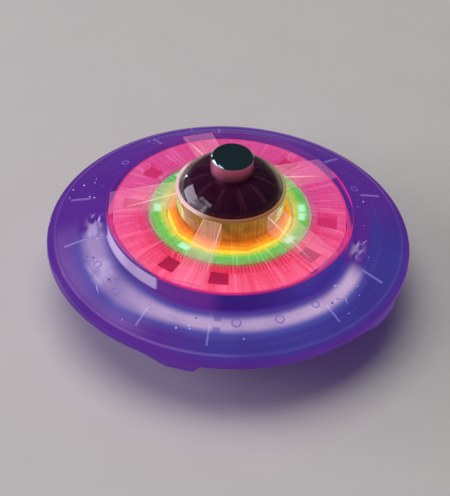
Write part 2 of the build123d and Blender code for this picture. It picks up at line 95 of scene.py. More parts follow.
# ------------------------------------------------------------------ shader tools
class Value:
    """A number in a node tree; arithmetic on it adds the Math nodes."""

    def __init__(self, tree: "Tree", socket: bpy.types.NodeSocket) -> None:
        """Keep the tree and the socket that carries the number."""
        self.tree = tree
        self.socket = socket

    def _math(self, operation: str, *others: "Value | float", first: "Value | float | None" = None) -> "Value":
        """Add one Math node.

        Args:
            operation: The Math node's operation.
            others: What follows this value in the node's inputs.
            first: What stands before this value instead, for a reflected operator.

        Returns:
            The node's result.
        """
        terms = [self, *others] if first is None else [first, self]
        node = self.tree.node("ShaderNodeMath", {"operation": operation}, dict(enumerate(terms)))
        return Value(self.tree, node.outputs[0])

    def __add__(self, other: "Value | float") -> "Value":
        """This plus other."""
        return self._math("ADD", other)

    __radd__ = __add__

    def __sub__(self, other: "Value | float") -> "Value":
        """This minus other."""
        return self._math("SUBTRACT", other)

    def __rsub__(self, other: "Value | float") -> "Value":
        """Other minus this."""
        return self._math("SUBTRACT", first=other)

    def __mul__(self, other: "Value | float") -> "Value":
        """This times other."""
        return self._math("MULTIPLY", other)

    __rmul__ = __mul__

    def __truediv__(self, other: "Value | float") -> "Value":
        """This over other."""
        return self._math("DIVIDE", other)

    def __pow__(self, other: "Value | float") -> "Value":
        """This to the power of other."""
        return self._math("POWER", other)

    def __abs__(self) -> "Value":
        """The size of this."""
        return self._math("ABSOLUTE")

    def least(self, other: "Value | float") -> "Value":
        """The smaller of this and other."""
        return self._math("MINIMUM", other)

    def most(self, other: "Value | float") -> "Value":
        """The larger of this and other."""
        return self._math("MAXIMUM", other)

    def wave(self) -> "Value":
        """The sine of this."""
        return self._math("SINE")

    def turn_from(self, other: "Value") -> "Value":
        """The angle in degrees whose tangent is this over other."""
        return self._math("ARCTAN2", other) * (180 / math.pi)

    def ease(self, low: float, high: float) -> "Value":
        """A smooth step from 0 at low to 1 at high."""
        node = self.tree.node(
            "ShaderNodeMapRange",
            {"interpolation_type": "SMOOTHSTEP"},
            {"Value": self, "From Min": low, "From Max": high, "To Min": 0.0, "To Max": 1.0},
        )
        return Value(self.tree, node.outputs["Result"])

    def band(self, low: float, high: float, soft: float) -> "Value":
        """1 between low and high, falling to 0 over soft on each side."""
        return self.ease(low - soft, low + soft) * (1 - self.ease(high - soft, high + soft))


class Tree:
    """A material's node tree, and the ways that the finishes add to it."""

    def __init__(self, name: str) -> None:
        """Start an empty material of that name."""
        self.material = bpy.data.materials.new(name)
        self.material.use_nodes = True
        self.nodes = self.material.node_tree.nodes
        self.links = self.material.node_tree.links
        self.nodes.clear()

    def node(self, kind: str, settings: dict | None = None, inputs: dict | None = None) -> bpy.types.Node:
        """Add one node.

        Args:
            kind: The node's type name.
            settings: Its settings, set first; "stops" holds a ramp's (place, colour) pairs.
            inputs: A value, a colour or a link for each input, by name or number.

        Returns:
            The node.
        """
        node = self.nodes.new(kind)
        for key, setting in (settings or {}).items():
            if key == "stops":
                self._fill_ramp(node.color_ramp, setting)
            else:
                setattr(node, key, setting)
        for key, given in (inputs or {}).items():
            socket = node.inputs[key]
            if isinstance(given, Value):
                self.links.new(given.socket, socket)
            elif isinstance(given, bpy.types.NodeSocket):
                self.links.new(given, socket)
            else:
                socket.default_value = given
        return node

    @staticmethod
    def _fill_ramp(ramp: bpy.types.ColorRamp, stops: Sequence[tuple[float, Colour]]) -> None:
        """Give a ramp its (place, colour) pairs."""
        while len(ramp.elements) > len(stops):
            ramp.elements.remove(ramp.elements[-1])
        while len(ramp.elements) < len(stops):
            ramp.elements.new(1.0)
        for element, (place, colour) in zip(ramp.elements, stops):
            element.position = place
            element.color = colour

    def place(self) -> tuple[Value, Value, Value]:
        """The point's x, y and z in millimetres, from Object coordinates."""
        coordinates = self.node("ShaderNodeTexCoord").outputs["Object"]
        parts = self.node("ShaderNodeSeparateXYZ", inputs={"Vector": coordinates})
        return tuple(Value(self, output) * (1 / MM) for output in parts.outputs)

    def spin_place(self) -> tuple[Value, Value, Value]:
        """The point's radius, azimuth in degrees (0 at -Y, rising towards +X) and height."""
        x, y, z = self.place()
        return (x * x + y * y) ** 0.5, x.turn_from(y * -1), z

    def vector(self, x: "Value | float", y: "Value | float", z: "Value | float") -> bpy.types.NodeSocket:
        """Join three numbers into a vector."""
        return self.node("ShaderNodeCombineXYZ", inputs={"X": x, "Y": y, "Z": z}).outputs["Vector"]

    def round_vector(self, along: float, across: "Value | float") -> bpy.types.NodeSocket:
        """A vector for noise that runs round the spin axis without a seam.

        Args:
            along: Noise cells for each degree of azimuth.
            across: What the noise runs along in its third direction.

        Returns:
            The vector.
        """
        x, y, _ = self.place()
        reach = (x * x + y * y) ** -0.5 * (along * 180 / math.pi)
        return self.vector(x * reach, y * reach, across)

    def noise(self, scale: float, detail: float = 2.0, where: bpy.types.NodeSocket | None = None) -> Value:
        """Noise over Object coordinates, or over another vector."""
        if where is None:
            where = self.node("ShaderNodeTexCoord").outputs["Object"]
        node = self.node("ShaderNodeTexNoise", inputs={"Vector": where, "Scale": scale, "Detail": detail})
        return Value(self, node.outputs["Fac"])

    def blend(
        self,
        share: "Value | float",
        under: "bpy.types.NodeSocket | Colour",
        over: "bpy.types.NodeSocket | Colour",
    ) -> bpy.types.NodeSocket:
        """Mix two colours.

        Args:
            share: How much of over shows.
            under: The colour at a share of 0.
            over: The colour at a share of 1.

        Returns:
            The mixed colour.
        """
        node = self.node(
            "ShaderNodeMix", {"data_type": "RGBA"}, {0: share, MIX_COLOUR_A: under, MIX_COLOUR_B: over}
        )
        return node.outputs[MIX_COLOUR_OUT]

    def bump(self, height: Value, strength: float, depth: float) -> bpy.types.NodeSocket:
        """A normal bent by a height, depth in millimetres."""
        node = self.node(
            "ShaderNodeBump", inputs={"Strength": strength, "Distance": depth * MM, "Height": height}
        )
        return node.outputs["Normal"]

    def surface(self, inputs: dict) -> bpy.types.Node:
        """Add a Principled shader with these inputs."""
        return self.node("ShaderNodeBsdfPrincipled", inputs=inputs)

    def close(self, shader: bpy.types.Node) -> bpy.types.Material:
        """Join a shader to the output.

        Args:
            shader: The last shader node.

        Returns:
            The finished material.
        """
        self.node("ShaderNodeOutputMaterial", inputs={"Surface": shader.outputs[0]})
        return self.material

    def finish(self, inputs: dict) -> bpy.types.Material:
        """End the material with one Principled shader that has these inputs."""
        return self.close(self.surface(inputs))


# ------------------------------------------------------------------ finishes
class Finish:
    """A surface finish: each kind has a name and gives the inputs of its shader."""

    name: str

    def inputs(self, tree: Tree) -> dict:
        """Give the shader's inputs, by name."""
        raise NotImplementedError

    def material(self) -> bpy.types.Material:
        """Make the material."""
        tree = Tree(self.name)
        return tree.finish(self.inputs(tree))


@dataclass(frozen=True)
class Flare:
    """A painted highlight on the brim: a patch of broken bright streaks, at an azimuth in degrees and a radius in
    millimetres.
    """

    azimuth: float
    radius: float
    half_angle: float
    half_width: float


@dataclass(frozen=True)
class ShellPlastic(Finish):
    """Clear moulding: colourless on the stepped roof, glowing violet on the brim and the turret wall."""

    name: str = "clear_violet_shell"
    violet: Colour = srgb(90, 42, 144)
    blue: Colour = srgb(64, 58, 148)
    painted_sheen: Colour = srgb(128, 92, 172)
    deep_violet: Colour = srgb(66, 28, 126)
    navy: Colour = srgb(46, 26, 122)
    deep_blue: Colour = srgb(60, 52, 156)
    plum: Colour = srgb(98, 40, 140)
    fringe: Colour = srgb(84, 88, 176)
    # Colour of the painted white band of light on the brim.
    white: Colour = srgb(214, 184, 222)
    # Colour of the painted highlights on the turret wall and the brim.
    highlight_lavender: Colour = srgb(200, 178, 226)
    magenta: Colour = srgb(232, 44, 128)
    turret_radius: float = 27.0
    wall_foot: float = 18.6
    roof_edge: float = 22.2
    inner_pink: Colour = srgb(224, 62, 126)
    inner_rear: Colour = srgb(218, 66, 146)
    # Where the painted white band of light lies: its radius, its outward drift at the sides and its spread.
    band_drift: float = 1.7
    band_radius: float = 31.4
    band_spread: float = 0.38
    flares: tuple[Flare, ...] = (
        Flare(-84.0, 29.6, 7.0, 1.6),
        Flare(76.0, 28.9, 5.0, 1.0),
        Flare(-58.0, 31.6, 6.0, 2.2),
    )

    def _brim_tone(self, tree: Tree, radius: Value, azimuth: Value, streak: Value) -> bpy.types.NodeSocket:
        """Colour of the brim's painted glow: violet, bluer to the right, with a painted white band of light and its
        fringes, painted highlights and a painted highlight along the lip.
        """
        tone = tree.blend(azimuth.band(-12, 100, 14) * radius.band(31, 39.2, 1.0), self.violet, self.blue)
        # Painted sheen: lighter lavender on the outer brim's front-left, where the window light falls.
        tone = tree.blend(azimuth.band(-84, -30, 9) * radius.band(33.0, 38.0, 0.8) * 0.8, tone, self.painted_sheen)
        near = 1 - radius.ease(27.4, 29.4)
        navy = tree.blend(azimuth.ease(8, 44), self.navy, self.deep_blue)
        plum = tree.blend(abs(azimuth).ease(66, 92), self.plum, self.violet)
        tone = tree.blend(near, tone, tree.blend(azimuth.band(-4.5, 66, 5), plum, navy))
        # Painted light: a white band of glow from the white ring under the brim, painted on the front of the brim
        # and pushed outwards at the sides.
        front = azimuth.band(-80, 65, 5)
        reach = radius + abs(azimuth).ease(40, 85) * self.band_drift
        spread = 1 - azimuth.band(-88, -30, 14) * self.band_spread
        reach = (reach - self.band_radius) * spread + self.band_radius
        fringe = reach.band(29.0, 34.4, 1.0) * front
        tone = tree.blend(fringe * 0.75, tone, self.fringe)
        strength = (0.56 + 0.5 * streak) * (0.66 + 0.34 * azimuth.ease(-52, -18) + 0.12 * azimuth.ease(15, 40))
        band = reach.band(30.2, 33.0, 0.9) * front * strength
        band = band * (1 - 0.6 * azimuth.band(-4.2, -1.4, 0.6) * (1 - radius.band(30.8, 32.2, 0.15)))
        tone = tree.blend(band.least(1.0), tone, self.white)
        soft = tree.noise(1.0, 1.0, tree.vector(radius * 0.5, azimuth * 0.14, 0.0)).ease(0.36, 0.62)
        # Painted highlights: patches of broken lavender streaks on the brim.
        for flare in self.flares:
            near = azimuth.band(flare.azimuth - flare.half_angle, flare.azimuth + flare.half_angle, 2.5)
            near = near * radius.band(flare.radius - flare.half_width, flare.radius + flare.half_width, 1.0)
            tone = tree.blend(near * soft * 0.75, tone, self.highlight_lavender)
        # Painted highlight along the lip, stronger on the front and the left.
        lip = radius.band(38.0, 38.5, 0.12) * (0.35 + 0.65 * azimuth.band(-75, 4, 9))
        return tree.blend(lip * 0.4, tone, srgb(150, 112, 190))

    def material(self) -> bpy.types.Material:
        """Make the material."""
        tree = Tree(self.name)
        radius, azimuth, height = tree.spin_place()
        drift = tree.noise(90.0, 3.0)
        streak = tree.noise(1.0, 3.0, tree.round_vector(0.03, radius * 1.3 + height * 0.2))
        tone = self._brim_tone(tree, radius, azimuth, streak)

        wall = 1 - radius.ease(self.turret_radius + 0.05, self.turret_radius + 0.5)
        # Painted highlight: a lavender strip on the front-left of the turret wall.
        patch = azimuth.band(-76, -33, 1.0) * height.band(self.wall_foot - 0.2, self.roof_edge - 0.8, 0.2) * wall
        tone = tree.blend(patch, tone, self.highlight_lavender)
        lifted = height + azimuth.band(74, 122, 14) * 1.6
        rim_light = wall * lifted.ease(self.roof_edge - 0.9, self.roof_edge - 0.1) * azimuth.band(-34, 124, 4)
        tone = tree.blend(rim_light, tone, self.magenta)
        # Painted glow: the turret's inner wall takes the pink of the red ring's light.
        inside = 1 - radius.ease(26.1, 26.6)
        tone = tree.blend(inside, tone, tree.blend(abs(azimuth).ease(70, 150), self.inner_pink, self.inner_rear))
        glow = tree.blend(drift.ease(0.4, 0.72) * 0.3, tone, self.deep_violet)
        glow = tree.blend(streak.ease(0.5, 0.8) * 0.14, glow, self.painted_sheen)

        brim = tree.surface(
            {
                "Base Color": tree.blend(0.85, glow, srgb(20, 10, 40)),
                "Roughness": 0.16 + drift * 0.1,
                "IOR": 1.18,
                "Transmission Weight": 0.12,
                "Emission Color": glow,
                "Emission Strength": 0.76,
                "Coat Weight": 0.12,
                "Coat Roughness": 0.05,
            }
        )
        roof = tree.surface(
            {
                "Base Color": srgb(255, 246, 250),
                "Roughness": 0.03 + drift * 0.02,
                "IOR": 1.14,
                "Transmission Weight": 1.0,
                "Coat Weight": 0.4,
                "Coat Roughness": 0.02,
            }
        )
        is_inner = 1 - radius.ease(self.turret_radius - 0.25, self.turret_radius - 0.05)
        is_roof = (is_inner * height.ease(self.roof_edge - 1.4, self.roof_edge - 1.2)).most(
            height.ease(self.roof_edge, self.roof_edge + 0.15)
        )
        mixed = tree.node("ShaderNodeMixShader", inputs={0: is_roof, 1: brim.outputs[0], 2: roof.outputs[0]})
        return tree.close(mixed)


@dataclass(frozen=True)
class FinPlastic(Finish):
    """Clear plastic with a trace of glow, which lights the fins up like an edge-lit sheet."""

    turns_at: tuple[float, float]
    name: str = "clear_fin"
    tone: Colour = srgb(60, 40, 110)
    far_tone: Colour = srgb(196, 190, 246)

    def inputs(self, tree: Tree) -> dict:
        """Give the shader's inputs."""
        radius, _, _ = tree.spin_place()
        mottle = tree.noise(260.0, 3.0)
        tone = tree.blend(radius.ease(*self.turns_at), self.tone, self.far_tone)
        return {
            "Base Color": srgb(250, 244, 250),
            "Roughness": 0.02 + mottle * 0.05,
            "IOR": 1.14,
            "Transmission Weight": 1.0,
            "Emission Color": tree.blend(mottle * 0.8, tone, srgb(60, 20, 40)),
            "Emission Strength": 0.27,
            "Coat Weight": 0.7,
            "Coat Roughness": 0.02,
        }


@dataclass(frozen=True)
class GlassyRib(Finish):
    """Thin clear plastic that shows what lies behind it, with a peach sheen that turns pink outwards."""

    name: str
    cover: float
    tone: Colour = srgb(255, 200, 196)
    far_tone: Colour = srgb(236, 150, 190)
    turns_at: tuple[float, float] = (14.0, 26.0)

    def inputs(self, tree: Tree) -> dict:
        """Give the shader's inputs."""
        radius, _, _ = tree.spin_place()
        mottle = tree.noise(260.0, 3.0)
        tone = tree.blend(radius.ease(*self.turns_at), self.tone, self.far_tone)
        return {
            "Base Color": tree.blend(0.5, tone, srgb(120, 40, 70)),
            "Roughness": 0.04 + mottle * 0.06,
            "Alpha": self.cover * (0.7 + mottle * 0.6),
            "Emission Color": tone,
            "Emission Strength": 0.85,
            "Coat Weight": 1.0,
            "Coat Roughness": 0.02,
        }


@dataclass(frozen=True)
class LitRing(Finish):
    """Frosted light guide that glows, with brighter places where its lamps stand."""

    name: str
    inner: float
    outer: float
    inner_tone: Colour
    middle_tone: Colour
    outer_tone: Colour
    spark_tone: Colour
    rear_tone: Colour
    neighbour_tone: Colour
    sparks: tuple[float, ...] = ()
    spark_half: float = 4.0
    strength: float = 0.9
    mottle: float = 0.25
    ripple: float = 0.12
    shade_tone: Colour = srgb(196, 24, 74)
    # Colour of the upper part, from side_top upwards; on the amber tube it is painted shade.
    side_tone: Colour | None = None
    side_top: float = 0.0
    side_reach: float = 0.5
    turns_rear: tuple[float, float] = (72.0, 150.0)

    def inputs(self, tree: Tree) -> dict:
        """Give the shader's inputs."""
        radius, azimuth, height = tree.spin_place()
        ripple = tree.noise(1.0, 2.0, tree.round_vector(0.16, 3.0))
        across = (radius - self.inner) / (self.outer - self.inner)
        tones = (self.neighbour_tone, self.inner_tone, self.middle_tone, self.outer_tone)
        ramp = tree.node(
            "ShaderNodeValToRGB",
            {"stops": list(zip((0.02, 0.16, 0.5, 0.95), tones))},
            {"Fac": across + (ripple - 0.5) * self.ripple},
        )
        tone = tree.blend(abs(azimuth).ease(*self.turns_rear) * 0.8, ramp.outputs["Color"], self.rear_tone)
        if self.side_tone is not None:
            tone = tree.blend(height.ease(self.side_top, self.side_top + self.side_reach), tone, self.side_tone)
        streak = tree.noise(1.0, 4.0, tree.round_vector(0.09, radius * 2.2 + height * 0.5))
        beams = tree.noise(1.0, 4.0, tree.round_vector(0.55, radius * 0.1))
        grain = tree.noise(700.0, 3.0)
        tone = tree.blend((streak - 0.4) * (2 * self.mottle), tone, self.spark_tone)
        tone = tree.blend(beams.ease(0.5, 0.66) * self.mottle * 1.6, tone, self.shade_tone)
        tone = tree.blend((1 - beams.ease(0.33, 0.46)) * self.mottle * 1.3, tone, self.spark_tone)
        for spark in self.sparks:
            near = 1 - abs(azimuth - spark).ease(self.spark_half * 0.45, self.spark_half)
            near = near * across.band(0.28, 0.78, 0.14)
            tone = tree.blend(near * (0.7 + 0.5 * streak), tone, self.spark_tone)
        return {
            "Base Color": tree.blend(0.72, tone, srgb(24, 6, 20)),
            "Roughness": 0.3 + grain * 0.2,
            "Emission Color": tone,
            "Emission Strength": self.strength,
            "Specular IOR Level": 0.15,
            "Normal": tree.bump(grain, 0.15, 0.1),
        }


@dataclass(frozen=True)
class TrimPlastic(Finish):
    """The dome's pale trim: creamy where the window lights it, amber where the rings shine through."""

    name: str = "trim_plastic"
    cream: Colour = srgb(212, 178, 180)
    amber: Colour = srgb(136, 84, 56)
    olive: Colour = srgb(158, 140, 96)

    def inputs(self, tree: Tree) -> dict:
        """Give the shader's inputs."""
        _, azimuth, _ = tree.spin_place()
        drift = tree.noise(150.0, 3.0)
        lit_through = tree.blend(azimuth.ease(40, 90), self.amber, self.olive)
        tone = tree.blend(azimuth.band(-128, -30, 14), lit_through, self.cream)
        tone = tree.blend(abs(azimuth).ease(120, 160), tone, self.amber)
        return {
            "Base Color": tree.blend(drift * 0.4, tone, srgb(120, 80, 60)),
            "Roughness": 0.14 + drift * 0.1,
            "Emission Color": tone,
            "Emission Strength": 0.5,
        }


@dataclass(frozen=True)
class SmokedPlastic(Finish):
    """Dark see-through dome plastic with a high polish."""

    name: str = "smoked_dome"

    def inputs(self, tree: Tree) -> dict:
        """Give the shader's inputs."""
        drift = tree.noise(220.0, 3.0)
        smears = tree.noise(330.0, 2.0)
        return {
            "Base Color": tree.blend(drift, srgb(34, 0, 22), srgb(46, 4, 34)),
            "Roughness": 0.04 + smears.ease(0.35, 0.6) * 0.16,
            "IOR": 1.5,
            "Specular IOR Level": 0.3,
            "Alpha": 0.84,
            # A faint painted glow that lifts the dark tone.
            "Emission Color": srgb(34, 2, 20),
            "Emission Strength": 0.4,
            "Coat Weight": 1.0 - smears.ease(0.5, 0.58) * 0.9,
            "Coat Roughness": 0.03,
        }


@dataclass(frozen=True)
class TrayPlastic(Finish):
    """Dark underside plastic that glows violet towards the rim, where the rings shine through it."""

    name: str = "tray_plastic"
    rim: Colour = srgb(98, 40, 152)
    middle: Colour = srgb(38, 20, 66)
    shade: Colour = srgb(54, 26, 96)
    turns_at: tuple[float, float] = (21.0, 37.0)

    def inputs(self, tree: Tree) -> dict:
        """Give the shader's inputs."""
        radius, _, _ = tree.spin_place()
        drift = tree.noise(110.0, 3.0)
        grain = tree.noise(700.0, 4.0)
        tone = tree.blend(radius.ease(*self.turns_at), self.middle, self.rim)
        tone = tree.blend(drift.ease(0.4, 0.7) * 0.45, tone, self.shade)
        return {
            "Base Color": tree.blend(0.5, tone, self.shade),
            "Roughness": 0.24 + grain * 0.14,
            "Emission Color": tone,
            "Emission Strength": 0.9,
            "Normal": tree.bump(grain, 0.3, 0.05),
        }


@dataclass(frozen=True)
class PetalPlastic(Finish):
    """Dark petals whose long edges catch the light from the rings."""

    first: float
    count: int
    name: str = "petals"

    def inputs(self, tree: Tree) -> dict:
        """Give the shader's inputs."""
        radius, azimuth, _ = tree.spin_place()
        grain = tree.noise(600.0, 3.0)
        swing = ((azimuth - self.first) * math.radians(self.count / 2)).wave()
        edge = (1 - abs(swing).ease(0.16, 0.42)) * radius.ease(4.0, 6.0)
        tone = tree.blend(edge * (0.5 + grain), srgb(44, 10, 40), srgb(206, 140, 190))
        return {
            "Base Color": tree.blend(0.5, tone, srgb(30, 8, 26)),
            "Roughness": 0.25 + grain * 0.2,
            "Emission Color": tone,
            "Emission Strength": 1.3,
            "Normal": tree.bump(grain, 0.3, 0.05),
        }


@dataclass(frozen=True)
class Moulded(Finish):
    """Plain moulded plastic with a fine grain and a slow drift of tone."""

    name: str
    tone: Colour
    second: Colour
    roughness: float = 0.35
    grain_scale: float = 900.0
    grain_depth: float = 0.05
    glow: float = 0.0

    def inputs(self, tree: Tree) -> dict:
        """Give the shader's inputs."""
        drift = tree.noise(120.0, 3.0)
        grain = tree.noise(self.grain_scale, 4.0)
        tone = tree.blend(drift, self.tone, self.second)
        return {
            "Base Color": tone,
            "Roughness": self.roughness + (grain - 0.5) * 0.15,
            "Emission Color": tone,
            "Emission Strength": self.glow,
            "Normal": tree.bump(grain, 0.3, self.grain_depth),
        }


@dataclass(frozen=True)
class Metal(Finish):
    """Metal with turning marks round the spin axis and faint smears; above a given height it is polished, and its
    colour there is a painted reflection.
    """

    name: str
    tone: Colour
    second: Colour
    roughness: float = 0.2
    turning: float = 12.0
    depth: float = 0.01
    polish_and_reflection_above: float = 1000.0
    painted_reflection_tone: Colour = (0.6, 0.6, 0.6, 1.0)

    def inputs(self, tree: Tree) -> dict:
        """Give the shader's inputs."""
        radius, _, height = tree.spin_place()
        smear = tree.noise(160.0, 4.0)
        marks = tree.noise(1.0, 2.0, tree.vector(radius * self.turning, height * self.turning, 0.0))
        # Above the height the metal is polished, and its colour is a painted reflection of the dim room.
        polish_and_reflection = height.ease(self.polish_and_reflection_above - 0.1, self.polish_and_reflection_above)
        rough = self.roughness + (smear - 0.5) * 0.12 + marks * 0.06
        return {
            "Base Color": tree.blend(polish_and_reflection, tree.blend(smear, self.tone, self.second), self.painted_reflection_tone),
            "Metallic": 1.0,
            "Roughness": rough * (1 - 0.85 * polish_and_reflection),
            "Normal": tree.bump(marks, 0.25, self.depth),
        }


@dataclass(frozen=True)
class LampPlastic(Finish):
    """A lamp: pale body below, glowing lens above."""

    name: str
    lens: Colour
    lens_height: float
    glow: float = 2.0

    def inputs(self, tree: Tree) -> dict:
        """Give the shader's inputs."""
        _, _, height = tree.spin_place()
        is_lens = height.ease(self.lens_height - 0.1, self.lens_height + 0.1)
        grain = tree.noise(1500.0, 2.0)
        return {
            "Base Color": tree.blend(is_lens, srgb(228, 226, 214), self.lens),
            "Roughness": 0.3 + grain * 0.15,
            "Emission Color": tree.blend(is_lens, (0.0, 0.0, 0.0, 1.0), self.lens),
            "Emission Strength": self.glow,
        }


@dataclass(frozen=True)
class BoardMask(Finish):
    """Green solder mask over copper tracks that run round and across the board."""

    name: str = "board_mask"

    def inputs(self, tree: Tree) -> dict:
        """Give the shader's inputs."""
        radius, azimuth, _ = tree.spin_place()
        rings = ((radius * 2.4).wave()).ease(0.75, 0.9)
        spokes = ((azimuth * 0.42).wave()).ease(0.93, 0.98) * radius.band(7, 23, 0.5)
        copper = rings.most(spokes)
        grain = tree.noise(800.0, 3.0)
        return {
            "Base Color": tree.blend(copper, srgb(14, 84, 40), srgb(52, 128, 60)),
            "Roughness": 0.3 + grain * 0.15,
            "Normal": tree.bump(copper, 0.4, 0.05),
        }


# ------------------------------------------------------------------ mesh tools
def arc(start: Point, middle: Point, end: Point, count: int) -> list[Point]:
    """Points along the round arc through three points.

    Args:
        start: The first point.
        middle: A point on the way.
        end: The last point.
        count: How many equal steps the arc is cut into.

    Returns:
        The points, both ends among them.
    """
    (ax, ay), (bx, by), (cx, cy) = start, middle, end
    d = 2 * (ax * (by - cy) + bx * (cy - ay) + cx * (ay - by))
    a2, b2, c2 = ax * ax + ay * ay, bx * bx + by * by, cx * cx + cy * cy
    ux = (a2 * (by - cy) + b2 * (cy - ay) + c2 * (ay - by)) / d
    uy = (a2 * (cx - bx) + b2 * (ax - cx) + c2 * (bx - ax)) / d
    first, half, last = (math.atan2(y - uy, x - ux) for x, y in (start, middle, end))
    half = first + math.remainder(half - first, math.tau)
    last = half + math.remainder(last - half, math.tau)
    size = math.hypot(ax - ux, ay - uy)
    turns = [first + (last - first) * step / count for step in range(count + 1)]
    return [(ux + size * math.cos(turn), uy + size * math.sin(turn)) for turn in turns]


def oblong(inner: float, outer: float, low: float, high: float) -> list[Point]:
    """The outline of a plain ring, as (radius, height) points."""
    return [(inner, low), (outer, low), (outer, high), (inner, high)]


def round_place(face: bmesh.types.BMFace) -> tuple[float, float, float]:
    """A face's distance from the spin axis, angle in degrees from +X and height."""
    centre = face.calc_center_median() / MM
    return math.hypot(centre.x, centre.y), math.degrees(math.atan2(centre.y, centre.x)), centre.z


class Face(Enum):
    """Which of a piece's finishes a face wears, by its material index."""

    PLAIN = 0
    ACCENT = 1


@dataclass(frozen=True)
class Section:
    """An upright rectangle across a spoke: its radius, width and the heights of its edges."""

    radius: float
    width: float
    low: float
    high: float


class Casting:
    """A bmesh being shaped into one piece. Sizes are given in millimetres."""

    same_place = 1e-7  # metres between vertices that are one
    no_area = 1e-14  # square metres, of the faces that an outline's stretch on the axis leaves

    def __init__(self) -> None:
        """Start an empty casting."""
        self.mesh = bmesh.new()

    def _outline(self, points: Sequence[Point], angle: float) -> list[bmesh.types.BMVert]:
        """Put an outline's points in the upright half plane at an angle about the spin axis."""
        turn = Matrix.Rotation(math.radians(angle), 4, "Z")
        return [self.mesh.verts.new(turn @ Vector((r * MM, 0, z * MM))) for r, z in points]

    def spin(self, geom: list, angle: float, steps: int, **settings: bool) -> None:
        """Spin some of the mesh about the spin axis.

        Args:
            geom: The vertices, edges and faces that are spun.
            angle: How far, in degrees.
            steps: In how many steps.
            settings: The operator's switches.
        """
        bmesh.ops.spin(
            self.mesh,
            geom=geom,
            cent=(0, 0, 0),
            axis=(0, 0, 1),
            angle=math.radians(angle),
            steps=steps,
            **settings,
        )

    def merge(self) -> None:
        """Merge the vertices that lie on each other."""
        bmesh.ops.remove_doubles(self.mesh, verts=self.mesh.verts, dist=self.same_place)

    def revolve(self, points: Sequence[Point], steps: int = 240) -> None:
        """Turn a closed outline of (radius, height) points all the way round the spin axis."""
        verts = self._outline(points, 0)
        edges = [self.mesh.edges.new((a, b)) for a, b in zip(verts, verts[1:] + verts[:1])]
        self.spin(verts + edges, 360, steps, use_merge=True)
        self.merge()
        flat = [face for face in self.mesh.faces if face.calc_area() < self.no_area]
        bmesh.ops.delete(self.mesh, geom=flat, context="FACES_ONLY")

    def sector(self, points: Sequence[Point], middle: float, half: float, steps: int = 16) -> None:
        """Turn a closed outline part of the way round, as a closed solid.

        Args:
            points: The outline's (radius, height) points.
            middle: The angle of the sector's middle, in degrees from +X.
            half: Half the angle that it spans.
            steps: How many steps it is cut into.
        """
        face = self.mesh.faces.new(self._outline(points, middle - half))
        self.spin([face, *face.edges, *face.verts], 2 * half, steps)

    def ramp(self, foot: Section, toe: Section) -> bmesh.types.BMFace:
        """Add a block between two upright sections on the +X side.

        Args:
            foot: The section nearer the axis.
            toe: The section further out.

        Returns:
            The block's top face.
        """
        made = bmesh.ops.create_cube(self.mesh, size=2.0)["verts"]
        for vert in made:
            end = toe if vert.co.x > 0 else foot
            height = end.high if vert.co.z > 0 else end.low
            vert.co = Vector((end.radius, math.copysign(end.width / 2, vert.co.y), height)) * MM
        faces = {face for vert in made for face in vert.link_faces}
        return max(faces, key=lambda face: face.calc_center_median().z)

    def sink(self, faces: list[bmesh.types.BMFace], lip: float, drop: float, wears: Face = Face.PLAIN) -> None:
        """Inset a region of faces by a lip and move what it encloses down.

        Args:
            faces: The region.
            lip: The width of the slope round it.
            drop: How far it goes down; a negative drop raises it.
            wears: The finish of the moved faces.
        """
        bmesh.ops.inset_region(self.mesh, faces=faces, thickness=lip * MM, use_even_offset=True)
        verts = list({vert for face in faces for vert in face.verts})
        bmesh.ops.translate(self.mesh, verts=verts, vec=(0, 0, -drop * MM))
        for face in faces:
            face.material_index = wears.value

    def turn(self, angle: float) -> None:
        """Turn all of it about the spin axis by an angle in degrees."""
        turn = Matrix.Rotation(math.radians(angle), 3, "Z")
        bmesh.ops.rotate(self.mesh, verts=self.mesh.verts, cent=(0, 0, 0), matrix=turn)

    def copy_round(self, count: int) -> None:
        """Repeat all of it evenly round the spin axis."""
        geom = [*self.mesh.verts, *self.mesh.edges, *self.mesh.faces]
        self.spin(geom, 360 * (count - 1) / count, count - 1, use_duplicate=True)

    def taper(self, low: float, high: float, share: float, middle: float) -> None:
        """Narrow a sector on the +X side downwards.

        Args:
            low: The height where it is narrowest.
            high: The height where it keeps its full angle.
            share: The share of its angle that is left at low.
            middle: The angle, in degrees, that it narrows towards.
        """
        centre = math.radians(middle)
        for vert in self.mesh.verts:
            up = min(max((vert.co.z / MM - low) / (high - low), 0.0), 1.0)
            angle = math.atan2(vert.co.y, vert.co.x)
            turn = Matrix.Rotation((centre - angle) * (1 - share) * (1 - up), 3, "Z")
            vert.co = turn @ vert.co

    def soften(
        self, width: float, segments: int = 2, sharper_than: float = 30.0, wears: Face | None = None
    ) -> None:
        """Round every edge that turns by more than an angle, in degrees.

        Args:
            width: How far back from the edge the rounding starts.
            segments: How many faces the rounding has.
            sharper_than: The least turn of an edge that is rounded.
            wears: The rounding's finish, or None for its neighbours'.
        """
        limit = math.radians(sharper_than)
        sharp = [
            edge for edge in self.mesh.edges if len(edge.link_faces) == 2 and edge.calc_face_angle(0) > limit
        ]
        bmesh.ops.bevel(
            self.mesh,
            geom=sharp,
            offset=width * MM,
            offset_type="OFFSET",
            affect="EDGES",
            segments=segments,
            profile=0.5,
            material=-1 if wears is None else wears.value,
            clamp_overlap=True,
        )

    def to_object(self, name: str) -> bpy.types.Object:
        """Free the bmesh into a smooth-shaded object at the origin, its faces outwards."""
        bmesh.ops.recalc_face_normals(self.mesh, faces=self.mesh.faces)
        data = bpy.data.meshes.new(name)
        self.mesh.to_mesh(data)
        self.mesh.free()
        shade(data)
        piece = bpy.data.objects.new(name, data)
        bpy.context.scene.collection.objects.link(piece)
        return piece


